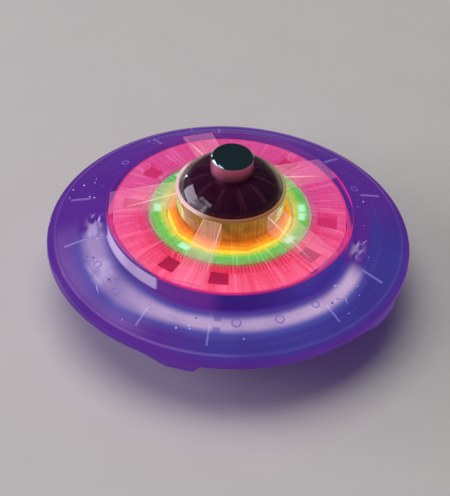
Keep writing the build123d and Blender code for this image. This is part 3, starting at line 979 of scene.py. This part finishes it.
def shade(data: bpy.types.Mesh) -> None:
    """Shade a mesh smooth, but for its crisp edges."""
    data.polygons.foreach_set("use_smooth", [True] * len(data.polygons))
    data.set_sharp_from_angle(angle=SHARP_ANGLE)


class Slot(Enum):
    """Names of the record's material slots."""

    SHELL = "clear_violet_plastic"
    DOME = "smoked_plastic"
    PETALS = "petal_plastic"
    BEZEL = "bezel_plastic"
    STEEL = "steel"
    KNOB = "plated_steel"
    WHITE_RING = "white_ring_plastic"
    RED_RING = "red_ring_plastic"
    GREEN_RING = "green_ring_plastic"
    AMBER_RING = "amber_ring_plastic"


def place_piece(piece: bpy.types.Object, finishes: Sequence[Finish], slot: Slot, *stands_for: str) -> None:
    """Dress a piece and tie it to the frame.

    Args:
        piece: The finished object.
        finishes: Its finishes, in the order of its faces' indices.
        slot: The record's material slot; not used.
        stands_for: The CAD nodes that it replaces.
    """
    for finish in finishes:
        piece.data.materials.append(finish.material())
    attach(piece, "root")
    if stands_for:
        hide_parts(*stands_for)
    LOG.info("%s: %d faces", piece.name, len(piece.data.polygons))


def unite(base: bpy.types.Object, tool: bpy.types.Object) -> None:
    """Join two solids into the base object.

    Args:
        base: The object that is changed.
        tool: The object that is joined to it, which is deleted.
    """
    step = base.modifiers.new("join", "BOOLEAN")
    step.operation = "UNION"
    step.solver = "EXACT"
    step.material_mode = "TRANSFER"
    step.object = tool
    graph = bpy.context.evaluated_depsgraph_get()
    result = bpy.data.meshes.new_from_object(base.evaluated_get(graph))
    base.modifiers.clear()
    old = base.data
    base.data = result
    result.name = old.name
    bpy.data.meshes.remove(old)
    bpy.data.objects.remove(tool)
    shade(result)


# ------------------------------------------------------------------ what the frame says
@dataclass(frozen=True)
class Extent:
    """The space that a round CAD node holds, in millimetres."""

    radius: float
    bottom: float
    top: float

    @classmethod
    def of(cls, node: str) -> "Extent":
        """Read a node's extent from the frame."""
        low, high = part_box(node)
        return cls(high.x / MM, low.z / MM, high.z / MM)


@dataclass(frozen=True)
class Spokes:
    """The shell's five spokes, as angles in degrees from +X."""

    count: int = 5
    start: float = -108.0

    def angles(self, offset: float = 0.0) -> list[float]:
        """Each spoke's angle, moved round by an offset."""
        return [self.start + offset + 360 / self.count * number for number in range(self.count)]


SPOKES = Spokes()
SHELL = Extent.of("top_shell")
BRIM_FOOT = (28.4, 18.3)
BRIM_ARC = arc(BRIM_FOOT, (34.0, 16.6), (SHELL.radius - 0.4, SHELL.bottom + 3.3), 34)


def brim_height(radius: float) -> float:
    """Height of the brim's outer face at a radius, in millimetres."""
    for (r0, z0), (r1, z1) in zip(BRIM_ARC, BRIM_ARC[1:]):
        if radius <= r1:
            return z0 + (z1 - z0) * (radius - r0) / (r1 - r0)
    return BRIM_ARC[-1][1]


# ------------------------------------------------------------------ sub-assemblies
@dataclass
class TopShell:
    """The clear stepped moulding with its buttress ribs and rim lugs."""

    turret_radius: float = 27.0
    turret_top: float = 22.45
    collar_radius: float = 11.9
    collar_wall: float = 1.2
    wall: float = 1.35
    roof_rise: float = 0.11
    lug_inner: float = 38.45
    lug_half_angle: float = 12.0
    lug_taper: float = 0.3
    lug_lean: float = 8.0
    rim_depth: float = 1.1
    lip_radius: float = 38.3
    rib_foot: Section = Section(11.4, 4.2, 23.4, 27.8)
    rib_toe: Section = Section(26.4, 6.8, 21.6, 22.7)
    rib_lip: float = 0.9
    rib_hollow: float = 0.5
    rib_edge: float = 0.2
    steps: int = 240

    def roof_height(self, radius: float) -> float:
        """Height of the roof's outer face at a radius."""
        return self.turret_top + (self.turret_radius - radius) * self.roof_rise

    def outline(self) -> list[Point]:
        """The shell's closed outline, outer face first."""
        rim = SHELL.radius
        rim_z = SHELL.bottom + 3
        inner_collar = self.collar_radius - self.collar_wall
        inner_turret = self.turret_radius - self.wall
        top = [
            (inner_collar, SHELL.top),
            (self.collar_radius - 0.2, SHELL.top),
            (self.collar_radius, SHELL.top - 0.2),
            (self.collar_radius, self.roof_height(self.collar_radius) + 0.5),
            (self.collar_radius + 0.15, self.roof_height(self.collar_radius) + 0.15),
            (self.collar_radius + 0.5, self.roof_height(self.collar_radius + 0.5)),
            (self.turret_radius - 0.35, self.roof_height(self.turret_radius - 0.35)),
            (self.turret_radius - 0.1, self.turret_top - 0.1),
            (self.turret_radius, self.turret_top - 0.35),
            (self.turret_radius, BRIM_FOOT[1] + 0.6),
            (self.turret_radius + 0.12, BRIM_FOOT[1] + 0.3),
            (self.turret_radius + 0.4, BRIM_FOOT[1] + 0.14),
        ]
        edge = [(rim - 0.1, rim_z + 0.05), (rim, rim_z - 0.3), (rim, rim_z - self.rim_depth)]
        lip = [(r, z + 0.14) if abs(r - self.lip_radius) < 0.3 else (r, z) for r, z in BRIM_ARC]
        under = arc((self.lug_inner, rim_z - 0.9), (33.6, 15.15), (BRIM_FOOT[0], 16.9), 14)
        inside = [
            (inner_turret, 17.1),
            (inner_turret, self.roof_height(inner_turret) - self.wall),
            (inner_collar, self.roof_height(inner_collar) - self.wall),
        ]
        return [*top, *lip, *edge, (self.lug_inner, rim_z - self.rim_depth), *under, *inside]

    def ribs(self) -> None:
        """Make the five ribs, as one piece whose upper edges catch the light."""
        foot, toe = self.rib_foot, self.rib_toe
        casting = Casting()
        casting.sink([casting.ramp(foot, toe)], self.rib_lip, self.rib_hollow)
        casting.soften(self.rib_edge, wears=Face.ACCENT)
        for face in casting.mesh.faces:
            centre = face.calc_center_median() / MM
            share = (centre.x - foot.radius) / (toe.radius - foot.radius)
            middle = ((foot.low + foot.high) * (1 - share) + (toe.low + toe.high) * share) / 2
            if centre.z < middle:
                face.material_index = Face.PLAIN.value
        casting.turn(SPOKES.start)
        casting.copy_round(SPOKES.count)
        flat = GlassyRib("clear_rib", cover=0.11)
        edge = GlassyRib("clear_rib_edge", 0.6, srgb(255, 214, 190), srgb(214, 84, 140), (16.0, 25.0))
        place_piece(casting.to_object("shell_ribs"), [flat, edge], Slot.SHELL)

    def lugs(self) -> bpy.types.Object:
        """Make the five lugs under the rim, narrower below than above."""
        casting = Casting()
        low, high = SHELL.bottom, SHELL.bottom + 2.4
        inner, outer = self.lug_inner + 0.01, SHELL.radius - 0.01
        lug = [(inner, low), (outer - 0.25, low), (outer, low + 0.25), (outer, high), (inner, high)]
        casting.sector(lug, 0, self.lug_half_angle, 24)
        casting.taper(low, high, self.lug_taper, self.lug_lean)
        casting.turn(SPOKES.start)
        casting.copy_round(SPOKES.count)
        return casting.to_object("shell_lugs")

    def build(self) -> None:
        """Make the shell and put it in place of the CAD one."""
        casting = Casting()
        casting.revolve(self.outline(), self.steps)
        shell = casting.to_object("top_shell_moulding")
        lugs = self.lugs()
        finish = ShellPlastic().material()
        for piece in (shell, lugs):
            piece.data.materials.append(finish)
        unite(shell, lugs)
        place_piece(shell, [], Slot.SHELL, "top_shell")
        self.ribs()


@dataclass(frozen=True)
class Bubble:
    """A ring-shaped blister on the brim: azimuth in degrees, radius from the axis and size in millimetres."""

    azimuth: float
    radius: float
    size: float


@dataclass(frozen=True)
class Shard:
    """A leaf-shaped glint on the brim: where it lies, its half length and half width, and its turn in degrees."""

    azimuth: float
    radius: float
    length: float
    width: float
    turn: float


@dataclass
class BrimMarks:
    """Small mouldings on the brim: a fin at each side of each spoke, blisters, pits and specks."""

    fin_start: float = 28.9
    fin_end: float = 36.4
    fin_offset: float = 12.5
    fin_half_angle: float = 0.3
    fin_rise: float = 0.2
    bubbles: tuple[Bubble, ...] = (
        Bubble(4.5, 31.0, 0.95),
        Bubble(21.5, 31.3, 0.9),
        Bubble(38.0, 30.7, 0.8),
        Bubble(-46.0, 32.6, 0.85),
        Bubble(-62.0, 31.4, 0.8),
        Bubble(118.0, 31.4, 0.75),
        Bubble(164.0, 32.0, 0.8),
        Bubble(-130.0, 31.6, 0.75),
    )
    shards: tuple[Shard, ...] = (
        Shard(79.0, 28.6, 1.7, 0.3, 86.0),
        Shard(75.5, 29.6, 1.2, 0.2, 72.0),
        Shard(72.0, 29.2, 0.9, 0.16, 100.0),
        Shard(82.5, 29.9, 1.1, 0.16, 64.0),
        Shard(-88.0, 28.5, 1.6, 0.3, 86.0),
        Shard(-84.0, 29.5, 1.8, 0.22, 74.0),
        Shard(-80.0, 30.6, 1.2, 0.18, 104.0),
        Shard(-91.0, 30.0, 1.0, 0.14, 60.0),
        Shard(50.0, 33.2, 1.2, 0.2, -30.0),
        Shard(47.5, 32.2, 0.8, 0.26, 40.0),
        Shard(-52.0, 34.6, 1.4, 0.14, 66.0),
    )
    bubble_wall: float = 0.15
    bubble_flatness: float = 0.7
    shard_flatness: float = 0.12
    shard_pinch: float = 0.75
    bead_flatness: float = 0.4
    specks: int = 40
    pits: int = 30

    def fins(self) -> None:
        """Make the ten radial fins."""
        casting = Casting()
        radii = [self.fin_start + (self.fin_end - self.fin_start) * step / 10 for step in range(11)]
        upper = [(radius, brim_height(radius) + self.fin_rise) for radius in radii]
        lower = [(radius, brim_height(radius) - self.fin_rise) for radius in reversed(radii)]
        for angle in SPOKES.angles(-self.fin_offset) + SPOKES.angles(self.fin_offset):
            casting.sector([*upper, *lower], angle, self.fin_half_angle, steps=2)
        finish = FinPlastic((self.fin_end - 5.2, self.fin_end - 4))
        place_piece(casting.to_object("brim_fins"), [finish], Slot.SHELL)

    @staticmethod
    def _place(azimuth: float, radius: float, flatness: float) -> Matrix:
        """Turn and move to a spot on the brim's outer face, lying along its slope."""
        slope = math.atan2(brim_height(radius - 0.5) - brim_height(radius + 0.5), 1.0)
        spot = Matrix.Translation(Vector((radius, 0, brim_height(radius))) * MM)
        lean = Matrix.Rotation(slope, 4, "Y") @ Matrix.Diagonal((1, 1, flatness, 1))
        return Matrix.Rotation(math.radians(azimuth - 90), 4, "Z") @ spot @ lean

    def blisters(self) -> None:
        """Make the ring-shaped blisters, each a low torus."""
        casting = Casting()
        for bubble in self.bubbles:
            mesh = casting.mesh
            circle = bmesh.ops.create_circle(mesh, segments=10, radius=bubble.size * self.bubble_wall * MM)["verts"]
            bmesh.ops.rotate(mesh, verts=circle, cent=(0, 0, 0), matrix=Matrix.Rotation(math.pi / 2, 3, "X"))
            bmesh.ops.translate(mesh, verts=circle, vec=(bubble.size * MM, 0, 0))
            before = set(mesh.verts) - set(circle)
            edges = {edge for vert in circle for edge in vert.link_edges}
            casting.spin([*circle, *edges], 360, 28, use_merge=True)
            made = [vert for vert in mesh.verts if vert not in before]
            where = self._place(bubble.azimuth, bubble.radius, self.bubble_flatness)
            bmesh.ops.transform(mesh, matrix=where, verts=made)
        casting.merge()
        finish = Moulded("blister", srgb(116, 98, 180), srgb(84, 64, 148), 0.12, 420.0, 0.01, 0.72)
        place_piece(casting.to_object("brim_blisters"), [finish], Slot.SHELL)

    def glints(self) -> None:
        """Make the leaf-shaped glints."""
        casting = Casting()
        for shard in self.shards:
            turn = Matrix.Rotation(math.radians(shard.turn), 4, "Z")
            shape = turn @ Matrix.Diagonal((shard.length, shard.width, 1, 1))
            where = self._place(shard.azimuth, shard.radius, self.shard_flatness) @ shape
            made = bmesh.ops.create_uvsphere(
                casting.mesh, u_segments=20, v_segments=8, radius=MM, matrix=where
            )["verts"]
            tip = self._place(shard.azimuth, shard.radius, 1.0) @ turn
            back = tip.inverted()
            for vert in made:
                local = back @ vert.co
                local.y *= 1 - self.shard_pinch * min(abs(local.x) / (shard.length * MM), 1.0)
                vert.co = tip @ local
        finish = Moulded("glint", srgb(166, 148, 212), srgb(140, 120, 196), 0.25, 300.0, 0.01, 0.45)
        place_piece(casting.to_object("brim_glints"), [finish], Slot.SHELL)

    def _scatter(
        self, name: str, count: int, seed: int, span: tuple[float, float], sizes: tuple[float, float], finish: Finish
    ) -> None:
        """Scatter small low beads over the brim.

        Args:
            name: The piece's name.
            count: How many there are.
            seed: Seed of the random draws.
            span: Least and largest distance from the axis.
            sizes: Least and largest radius of a bead.
            finish: Their finish.
        """
        casting = Casting()
        draw = Random(seed)
        for _ in range(count):
            spot = self._place(draw.uniform(-180, 180), draw.uniform(*span), self.bead_flatness)
            bmesh.ops.create_uvsphere(
                casting.mesh, u_segments=10, v_segments=6, radius=draw.uniform(*sizes) * MM, matrix=spot
            )
        place_piece(casting.to_object(name), [finish], Slot.SHELL)

    def build(self) -> None:
        """Make every kind of mark."""
        self.fins()
        self.blisters()
        self.glints()
        bright = Moulded("speck", srgb(196, 176, 236), srgb(170, 150, 226), 0.1, 300.0, 0.01, 0.55)
        dark = Moulded("pit", srgb(74, 50, 140), srgb(56, 36, 122), 0.15, 300.0, 0.01, 0.6)
        self._scatter("brim_specks", self.specks, seed=11, span=(28.6, 38.0), sizes=(0.08, 0.22), finish=bright)
        self._scatter("brim_pits", self.pits, seed=5, span=(30.0, 33.0), sizes=(0.12, 0.3), finish=dark)


@dataclass
class LightRings:
    """The four frosted light guides that the lamps shine into."""

    white_width: float = 3.6
    white_slope: float = 1.25
    red_inner: float = 17.8
    red_fall: float = 0.82
    red_stops: tuple[float, ...] = (18.9, 20.3, 21.8, 23.5)
    prism_angle: float = 0.75
    prism_depth: float = 0.25
    window_pairs: int = 4
    window_start: float = -110.0
    window_spread: float = 15.5
    window_half_angle: float = 5.9
    window_depth: float = 1.2
    green_inner: float = 13.9
    tooth_angle: float = 1.5
    tooth_reach: float = 0.9
    tooth_rise: float = 0.22
    flange_top: float = 21.9
    flange_radius: float = 13.3
    flange_sides: int = 10
    tube_inner: float = 9.2
    tube_outer: float = 10.4
    steps: int = 240

    def white(self) -> None:
        """Make the outer ring, which lies under the brim."""
        extent = Extent.of("white_light_ring")
        casting = Casting()
        inner, outer = extent.radius - self.white_width, extent.radius
        rim = (outer, extent.top - self.white_slope)
        casting.revolve([(inner, extent.bottom), (outer, extent.bottom), rim, (inner, extent.top)], self.steps)
        casting.soften(0.25)
        lit = LitRing(
            "white_ring_lit", inner, outer,
            inner_tone=srgb(150, 120, 215), middle_tone=srgb(196, 168, 226), outer_tone=srgb(120, 96, 205),
            spark_tone=srgb(232, 216, 245), rear_tone=srgb(120, 80, 200), neighbour_tone=srgb(110, 90, 200),
            sparks=(-60.0, -30.0, 12.0, 50.0), spark_half=9.0, strength=0.5,
        )
        place_piece(casting.to_object("white_ring"), [lit], Slot.WHITE_RING, "white_light_ring")

    def _in_window(self, angle: float) -> bool:
        """Whether an angle from +X lies in one of the sunken windows."""
        for number in range(self.window_pairs):
            for side in (-1, 1):
                middle = self.window_start + 360 / self.window_pairs * number + side * self.window_spread
                if abs((angle - middle + 180) % 360 - 180) < self.window_half_angle:
                    return True
        return False

    def red(self) -> None:
        """Make the widest ring, with its sunken windows and fine prisms between them."""
        extent = Extent.of("red_light_ring")
        inner, outer, stops = self.red_inner, extent.radius, self.red_stops
        high, low = extent.top, extent.top - self.red_fall
        slope = (low - high) / (outer - inner)
        top = [(radius, high + slope * (radius - inner)) for radius in reversed(stops)]
        casting = Casting()
        outline = [(inner, extent.bottom), (outer, extent.bottom), (outer, low), *top, (inner, high)]
        casting.revolve(outline, 2 * self.steps)
        sunk, prisms = [], []
        for face in casting.mesh.faces:
            radius, angle, height = round_place(face)
            if abs(face.normal.z) < 0.5 or height < low - 0.2:
                continue
            if stops[0] < radius < stops[-1] and self._in_window(angle):
                sunk.append(face)
            elif radius < stops[1] and int((angle + 360) / self.prism_angle) % 3 == 0:
                prisms.append(face)
        casting.sink(sunk, lip=0.12, drop=self.window_depth, wears=Face.ACCENT)
        casting.sink(prisms, lip=0.03, drop=self.prism_depth, wears=Face.ACCENT)
        casting.soften(0.12, sharper_than=40)
        lit = LitRing(
            "red_ring_lit", inner, outer,
            inner_tone=srgb(230, 42, 80), middle_tone=srgb(242, 72, 108), outer_tone=srgb(248, 90, 132),
            spark_tone=srgb(252, 150, 186), rear_tone=srgb(206, 70, 156), neighbour_tone=srgb(150, 120, 60),
            mottle=0.26, shade_tone=srgb(214, 34, 88), turns_rear=(20.0, 130.0),
        )
        window = LitRing(
            "red_window", inner, outer,
            inner_tone=srgb(164, 0, 62), middle_tone=srgb(180, 2, 76), outer_tone=srgb(172, 2, 72),
            spark_tone=srgb(196, 20, 84), rear_tone=srgb(214, 54, 122), neighbour_tone=srgb(150, 6, 50),
            strength=0.78, mottle=0.1, turns_rear=(58.0, 82.0),
        )
        place_piece(casting.to_object("red_ring"), [lit, window], Slot.RED_RING, "red_light_ring")

    def green(self) -> None:
        """Make the green ring, with a comb of small teeth on its inner edge."""
        extent = Extent.of("green_light_ring")
        inner, outer, comb = self.green_inner, extent.radius, self.green_inner + self.tooth_reach
        casting = Casting()
        top = [(outer, extent.top), (outer - 1.1, extent.top), (comb, extent.top), (inner, extent.top - 0.2)]
        casting.revolve([(inner, extent.bottom), (outer, extent.bottom), *top], self.steps)
        teeth = []
        for face in casting.mesh.faces:
            radius, angle, height = round_place(face)
            if height > extent.top - 0.15 and radius < comb and int((angle + 360) / self.tooth_angle) % 2 == 0:
                teeth.append(face)
        casting.sink(teeth, lip=0.05, drop=-self.tooth_rise)
        casting.soften(0.15, sharper_than=40)
        lit = LitRing(
            "green_ring_lit", inner, outer,
            inner_tone=srgb(206, 206, 44), middle_tone=srgb(84, 196, 72), outer_tone=srgb(110, 168, 76),
            spark_tone=srgb(176, 250, 196), rear_tone=srgb(70, 168, 76), neighbour_tone=srgb(226, 206, 50),
            sparks=(-89.0, -37.0, 56.0, 86.0, 96.0, 142.0, -135.0), spark_half=6.0, strength=1.0,
            mottle=0.24, ripple=0.5, shade_tone=srgb(150, 176, 50),
        )
        place_piece(casting.to_object("green_ring"), [lit], Slot.GREEN_RING, "green_light_ring")

    def amber(self) -> None:
        """Make the ten-sided flange and the tube that lights the collar."""
        extent = Extent.of("amber_light_ring")
        inner, outer, top = self.tube_inner + 0.4, self.flange_radius, self.flange_top
        casting = Casting()
        flange = [(outer, extent.bottom), (outer, top - 0.4), (outer - 0.65, top), (inner, top)]
        casting.revolve([(inner, extent.bottom), *flange], self.flange_sides)
        for face in casting.mesh.faces:
            face.normal_update()
            if abs(face.normal.z) < 0.95 and round_place(face)[0] > self.tube_outer:
                face.material_index = Face.ACCENT.value
        casting.revolve(oblong(self.tube_inner, self.tube_outer, extent.bottom + 0.1, extent.top), 120)
        casting.soften(0.12)
        lit = LitRing(
            "amber_ring_lit", self.tube_outer, outer,
            inner_tone=srgb(206, 96, 14), middle_tone=srgb(238, 128, 26), outer_tone=srgb(250, 158, 30),
            spark_tone=srgb(255, 190, 60), rear_tone=srgb(226, 150, 30), neighbour_tone=srgb(150, 74, 14),
            strength=0.95, mottle=0.3, ripple=0.1, shade_tone=srgb(206, 92, 12),
            # Painted shade: the tube darkens to olive above the flange, under the dome.
            side_tone=srgb(106, 82, 28), side_top=top + 1.2, side_reach=3.0,
        )
        line = LitRing(
            "amber_edge_lit", self.tube_outer, outer,
            inner_tone=srgb(246, 206, 40), middle_tone=srgb(248, 220, 52), outer_tone=srgb(240, 226, 64),
            spark_tone=srgb(255, 242, 120), rear_tone=srgb(214, 190, 40), neighbour_tone=srgb(250, 206, 40),
            strength=0.95, mottle=0.15, shade_tone=srgb(226, 170, 30),
            side_tone=srgb(250, 156, 28), side_top=top - 0.8, side_reach=0.45,
        )
        place_piece(casting.to_object("amber_ring"), [lit, line], Slot.AMBER_RING, "amber_light_ring")

    def build(self) -> None:
        """Make the four rings."""
        self.white()
        self.red()
        self.green()
        self.amber()


@dataclass
class Dome:
    """The smoked dome with its trim ring, petals and metal knob."""

    wall: float = 1.1
    bore: float = 1.6
    cover_outside: Point = (8.6, 31.95)
    cover_inside: Point = (7.8, 31.05)
    petal_outside: Point = (7.45, 30.75)
    petal_inside: Point = (7.05, 30.35)
    petal_tip: float = 3.6
    petal_count: int = 10
    petal_gap: float = 6.0
    petal_wall: float = 0.5
    hub_radius: float = 3.9
    bezel_inner: float = 8.9
    knob_rim: float = 0.42
    knob_dish: float = 0.08
    steps: int = 160

    def cover(self) -> None:
        """Make the see-through dark dome."""
        extent, knob = Extent.of("dome_cover"), Extent.of("top_knob")
        top, under = extent.top, extent.top - self.wall
        inner = extent.radius - self.wall - 0.1
        outside = arc((extent.radius, extent.bottom), self.cover_outside, (knob.radius, top), 20)
        inside = arc((knob.radius - 0.3, under), self.cover_inside, (inner, extent.bottom), 16)
        casting = Casting()
        casting.revolve([*outside, (self.bore, top), (self.bore, under), *inside], self.steps)
        place_piece(casting.to_object("dome"), [SmokedPlastic()], Slot.DOME, "dome_cover")

    def petals(self) -> None:
        """Make the petals that show faintly through the dome."""
        extent = Extent.of("dome_petals")
        foot, top, under = extent.radius, extent.top, extent.top - self.petal_wall
        half = 180 / self.petal_count - self.petal_gap / 2
        outside = arc((foot, extent.bottom), self.petal_outside, (self.petal_tip, top), 10)
        inside = arc((self.petal_tip - 0.2, under), self.petal_inside, (foot - self.petal_wall, extent.bottom), 10)
        casting = Casting()
        casting.sector([*outside, *inside], SPOKES.start + 180 / self.petal_count, half, 8)
        casting.soften(0.08)
        casting.copy_round(self.petal_count)
        casting.revolve(oblong(self.bore, self.hub_radius, under, top), 60)
        finish = PetalPlastic(SPOKES.start + 90, self.petal_count)
        place_piece(casting.to_object("petals"), [finish], Slot.PETALS, "dome_petals")

    def bezel(self) -> None:
        """Make the pale trim ring under the dome."""
        extent = Extent.of("dome_bezel")
        casting = Casting()
        casting.revolve(oblong(self.bezel_inner, extent.radius, extent.bottom, extent.top), self.steps)
        casting.soften(0.18, 3)
        place_piece(casting.to_object("bezel"), [TrimPlastic()], Slot.BEZEL, "dome_bezel")

    def knob(self) -> None:
        """Make the plated knob with its crisp rim and slightly sunken top."""
        extent = Extent.of("top_knob")
        radius, top, floor = extent.radius, extent.top, extent.top - self.knob_dish
        shoulder = radius - self.knob_rim
        rim = [(radius, top - self.knob_rim), (shoulder, top), (shoulder - 0.12, top), (shoulder - 0.22, floor)]
        casting = Casting()
        casting.revolve([(0.0, extent.bottom), (radius, extent.bottom), *rim, (0.0, floor)], self.steps)
        casting.soften(0.06, 3)
        # The knob's top is polished, and its teal-grey colour is a painted reflection of the dim room.
        finish = Metal(
            "nickel_plate", srgb(232, 142, 170), srgb(208, 122, 148), 0.42, 6.0, 0.004,
            polish_and_reflection_above=top - self.knob_rim - 0.05, painted_reflection_tone=srgb(128, 150, 158),
        )
        place_piece(casting.to_object("knob"), [finish], Slot.KNOB, "top_knob")

    def build(self) -> None:
        """Make the four pieces."""
        self.cover()
        self.petals()
        self.bezel()
        self.knob()


@dataclass
class SpinSwitch:
    """The spin switch's coil spring, which the sliding weight presses together."""

    joint: str = "spin_switch_slide"
    wire: float = 0.13
    turns: int = 5
    turn_steps: int = 28
    pressed_share: float = 0.48

    def build(self) -> None:
        """Make the spring in place of the CAD one."""
        low, high = (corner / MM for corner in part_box("switch_spring"))
        middle = (low + high) / 2
        coil = (high.z - low.z) / 2 - self.wire
        pitch = (high.x - low.x - 2 * self.wire) / self.turns
        casting = Casting()
        mesh = casting.mesh
        wire = bmesh.ops.create_circle(mesh, segments=10, radius=self.wire * MM, cap_ends=True)["verts"]
        bmesh.ops.rotate(mesh, verts=wire, cent=(0, 0, 0), matrix=Matrix.Rotation(math.pi / 2, 3, "X"))
        start = Vector((low.x + self.wire, middle.y, middle.z + coil))
        bmesh.ops.translate(mesh, verts=wire, vec=start * MM)
        bmesh.ops.spin(
            mesh,
            geom=[*mesh.verts, *mesh.edges, *mesh.faces],
            cent=middle * MM,
            axis=(1, 0, 0),
            dvec=(pitch / self.turn_steps * MM, 0, 0),
            angle=2 * math.pi * self.turns,
            steps=self.turns * self.turn_steps,
        )
        finish = Metal("spring_steel", srgb(186, 186, 190), srgb(158, 160, 166), 0.22)
        spring = casting.to_object("switch_coil")
        place_piece(spring, [finish], Slot.STEEL, "switch_spring")
        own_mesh(spring)


@dataclass
class InnerWorks:
    """The CAD pieces whose shape is right as it is: they only get their finishes."""

    lamp_body: float = 1.1

    def finishes(self) -> dict[Finish, tuple[str, ...]]:
        """The finishes, each with the starts of the names of the nodes that wear it."""
        lens = Extent.of("red_led_1").bottom + self.lamp_body
        return {
            TrayPlastic(): ("bottom_shell", "battery_door"),
            Metal("bright_steel", srgb(186, 186, 190), srgb(158, 160, 166), 0.22):
                ("spindle", "tip_ball", "door_screws", "shell_screws"),
            Metal("turned_brass", srgb(214, 176, 96), srgb(188, 146, 70), 0.22):
                ("tip_holder", "switch_weight", "switch_contact"),
            Metal("contact_plate", srgb(202, 198, 184), srgb(180, 174, 158), 0.26):
                ("cell_link", "door_contact", "negative_contact", "positive_contact"),
            Metal("cell_can", srgb(206, 206, 210), srgb(180, 182, 188), 0.18, 4.0): ("button_cell",),
            Moulded("epoxy", srgb(26, 26, 28), srgb(40, 40, 42), 0.5): ("driver_chip", "resistor", "switch_housing"),
            Moulded("ceramic", srgb(168, 132, 92), srgb(146, 112, 78), 0.45): ("timing_capacitor",),
            Moulded("reflector_white", srgb(232, 230, 226), srgb(214, 212, 210), 0.3): ("reflector_deck",),
            BoardMask(): ("circuit_board",),
            LampPlastic("white_lamp", srgb(220, 210, 255), lens): ("white_led",),
            LampPlastic("red_lamp", srgb(255, 60, 80), lens): ("red_led",),
            LampPlastic("green_lamp", srgb(110, 255, 140), lens): ("green_led",),
            LampPlastic("amber_lamp", srgb(255, 190, 50), lens): ("amber_led",),
        }

    def build(self) -> None:
        """Dress every CAD node that stays."""
        for finish, starts in self.finishes().items():
            material = finish.material()
            for name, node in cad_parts.items():
                if name.startswith(starts) and not node.hide_render:
                    node.data.materials.clear()
                    node.data.materials.append(material)
                    LOG.info("%s: %s", name, material.name)


@dataclass
class Studio:
    """Floor, soft lights and the camera."""

    camera_place: tuple[float, float, float] = (0.0, -324.3, 296.6)
    camera_target: tuple[float, float, float] = (-0.68, 0.0, 10.86)
    lens: float = 141.4
    roll: float = 2.66

    def floor(self) -> None:
        """Lay the plain pale floor at the height that the tip touches."""
        casting = Casting()
        bmesh.ops.create_grid(casting.mesh, x_segments=2, y_segments=2, size=4.0)
        bmesh.ops.translate(casting.mesh, verts=casting.mesh.verts, vec=(0, 0, CAD_BOX[0].z))
        floor = casting.to_object("floor")
        tree = Tree("pale_floor")
        grain = tree.noise(60.0, 3.0)
        pale = tree.finish({
            "Base Color": tree.blend(grain, srgb(206, 203, 200), srgb(198, 195, 193)),
            "Roughness": 0.3 + grain * 0.1,
            "Specular IOR Level": 0.4,
        })
        floor.data.materials.append(pale)

    def light(
        self,
        name: str,
        place: Vector,
        size: tuple[float, float],
        power: float,
        tone: Colour,
        mirrored: bool = True,
    ) -> None:
        """Add one soft box that faces the top.

        Args:
            name: The light's name.
            place: Where it stands, in metres.
            size: Its width and height in metres.
            power: Its power in watts.
            tone: Its colour.
            mirrored: Whether glossy surfaces show it.
        """
        data = bpy.data.lights.new(name, "AREA")
        data.shape = "RECTANGLE"
        data.size, data.size_y = size
        data.energy = power
        data.color = tone[:3]
        lamp = bpy.data.objects.new(name, data)
        lamp.location = place
        lamp.rotation_mode = "QUATERNION"
        lamp.rotation_quaternion = (Vector((0, 0, 0.02)) - place).to_track_quat("-Z", "Y")
        lamp.visible_camera = False
        lamp.visible_glossy = mirrored
        bpy.context.scene.collection.objects.link(lamp)

    def camera(self) -> None:
        """Set the camera."""
        data = bpy.data.cameras.new("camera")
        data.lens = self.lens
        data.clip_start, data.clip_end = 0.01, 20.0
        camera = bpy.data.objects.new("camera", data)
        place = Vector(self.camera_place) * MM
        target = Vector(self.camera_target) * MM
        camera.location = place
        camera.rotation_mode = "QUATERNION"
        roll = Matrix.Rotation(math.radians(self.roll), 4, "Z").to_quaternion()
        camera.rotation_quaternion = (target - place).to_track_quat("-Z", "Y") @ roll
        bpy.context.scene.collection.objects.link(camera)
        bpy.context.scene.camera = camera

    def world(self) -> None:
        """Set the dim, even surroundings and plain colour handling."""
        world = bpy.data.worlds.new("room")
        world.use_nodes = True
        background = world.node_tree.nodes["Background"]
        background.inputs["Color"].default_value = srgb(120, 140, 150)
        background.inputs["Strength"].default_value = 0.25
        bpy.context.scene.world = world
        bpy.context.scene.view_settings.view_transform = "Standard"

    def build(self) -> None:
        """Set up the whole studio."""
        self.camera()
        self.world()
        self.floor()
        self.light("window", Vector((-0.93, 0.07, 0.3)), (0.8, 0.5), 5.4, srgb(246, 236, 255))
        self.light("window_low", Vector((-0.84, -0.46, 0.4)), (0.3, 0.4), 1.3, srgb(246, 236, 255))
        self.light("strip", Vector((-0.7, -0.34, 0.66)), (0.5, 0.16), 0.6, srgb(255, 250, 252))
        self.light("over", Vector((-0.2, 0.2, 1.1)), (1.0, 1.0), 9.0, srgb(255, 250, 246), mirrored=False)
        self.light("spark", Vector((-0.55, 0.64, 0.05)), (0.03, 0.03), 0.12, srgb(255, 255, 255))


def main() -> None:
    """Build the whole scene round the frame."""
    logging.basicConfig(level=logging.INFO, format="%(name)s %(message)s")
    Studio().build()
    TopShell().build()
    BrimMarks().build()
    LightRings().build()
    Dome().build()
    SpinSwitch().build()
    InnerWorks().build()


if __name__ == "__main__":
    main()
